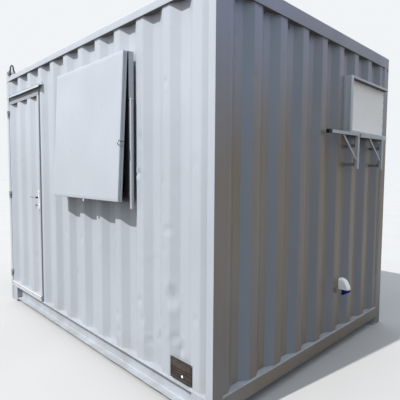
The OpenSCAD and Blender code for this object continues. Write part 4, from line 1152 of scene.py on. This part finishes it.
camera()
walls()
long_channels()
cap_over_door()
tread_strip()
flap()
stay()
lock_set()
hinge_caps()
outlet_details()
tip_caps()
inlet()
name_plate()
shackle()
window_gaskets()
weld_beads()


# ---------------------------------------------------------------- CAD nodes that stay
def dress(node, material, bevel):
    obj = NODES[node]
    obj.data.materials.clear()
    obj.data.materials.append(MATERIALS[material])
    if bevel:
        weld = obj.modifiers.new("weld", "WELD")
        weld.merge_threshold = 1e-5
        edge = obj.modifiers.new("bevel", "BEVEL")
        edge.width = bevel
        edge.segments = 2
        edge.limit_method = "ANGLE"
        edge.angle_limit = math.radians(40)
        edge.use_clamp_overlap = True
        even = obj.modifiers.new("normals", "WEIGHTED_NORMAL")
        even.keep_sharp = False


for material, bevel, nodes in (
        ("paint", 0.004, "corner_posts side_top_rails end_headers end_bottom_rails"),
        ("steel", 0.003, "floor_beams"), ("plywood", 0, "floor_boards"),
        ("board", 0, "front_lining rear_lining left_lining right_lining ceiling door_inner_board"),
        ("paint", 0.0015, "door_frame"), ("leaf", 0.003, "door_leaf"),
        ("paint", 0.001, "hinge_butts"), ("steel", 0.001, "hinge_leaves"),
        ("box", 0.001, "window_box"), ("aluminium", 0.003, "window_frame"), ("glass", 0, "window_glass"),
        ("paint", 0.002, "flap_stay lifting_lugs"), ("end", 0.001, "bracket_hinges"),
        ("trim", 0.0008, "bracket_near bracket_far"), ("zinc", 0.002, "shackle_pin")):
    for node in nodes.split():
        dress(node, material, bevel)


# ---------------------------------------------------------------- light, floor and background
SUN, SUN_TO = 4.36, (0.14, 1.0, -1.17)
SOFT_FROM, SOFT = (-0.34, -0.84, 0.42), (0.67, 0.93)


def stage():
    """Pale studio: a hard key from the front, soft light from the front and above, a quiet right side."""
    scene = bpy.context.scene
    scene.view_settings.view_transform = "Standard"
    world = bpy.data.worlds.new("world")
    scene.world = world
    world.use_nodes = True
    g = Graph(world.node_tree)
    way = g.node("ShaderNodeTexCoord", {}, "Generated")
    toward = g.node("ShaderNodeVectorMath", {0: way, 1: SOFT_FROM}, "Value", operation="DOT_PRODUCT")
    # A brighter patch of sky overhead
    overhead = g.span(g.part(way, 2), 0.5, 0.95, 0.0, 0.8)
    soft = g.tree.nodes["Background"]
    soft.inputs[0].default_value = (0.84, 0.91, 1.0, 1)
    g.feed(soft.inputs[1], g.math("ADD", g.span(toward, 0.0, 0.95, *SOFT), overhead))
    shown = g.node("ShaderNodeBackground", {0: (0.88, 0.905, 0.925, 1)})
    seen = g.math("MAXIMUM", g.ray("Is Camera Ray"), g.ray("Is Glossy Ray"))
    seen = g.math("MAXIMUM", seen, g.ray("Is Transmission Ray"))
    sky = g.node("ShaderNodeMixShader", {0: seen, 1: soft.outputs[0], 2: shown})
    g.feed(g.tree.nodes["World Output"].inputs["Surface"], sky)

    mesh = bpy.data.meshes.new("floor")
    mesh.from_pydata([(-60, -60, 0), (60, -60, 0), (60, 60, 0), (-60, 60, 0)], [], [(0, 1, 2, 3)])
    g = Surface("floor")
    pale = g.mix(g.span(g.noise(0.6, 3), 0.3, 0.7), (0.42, 0.415, 0.41), (0.44, 0.435, 0.43))
    # What the floor throws back at the cabin is darker, like the yard that it stands on
    seen = g.math("MAXIMUM", g.ray("Is Camera Ray"), g.ray("Is Glossy Ray"))
    mesh.materials.append(g.done(g.mix(seen, (0.092, 0.078, 0.062), pale), 0.9))
    floor = bpy.data.objects.new("floor", mesh)
    scene.collection.objects.link(floor)

    sun = bpy.data.lights.new("key", "SUN")
    sun.energy = SUN
    sun.angle = 0.012
    sun.color = (1.0, 0.985, 0.96)
    key = bpy.data.objects.new("key", sun)
    key.rotation_euler = Vector(SUN_TO).to_track_quat("-Z", "Y").to_euler()
    scene.collection.objects.link(key)


stage()
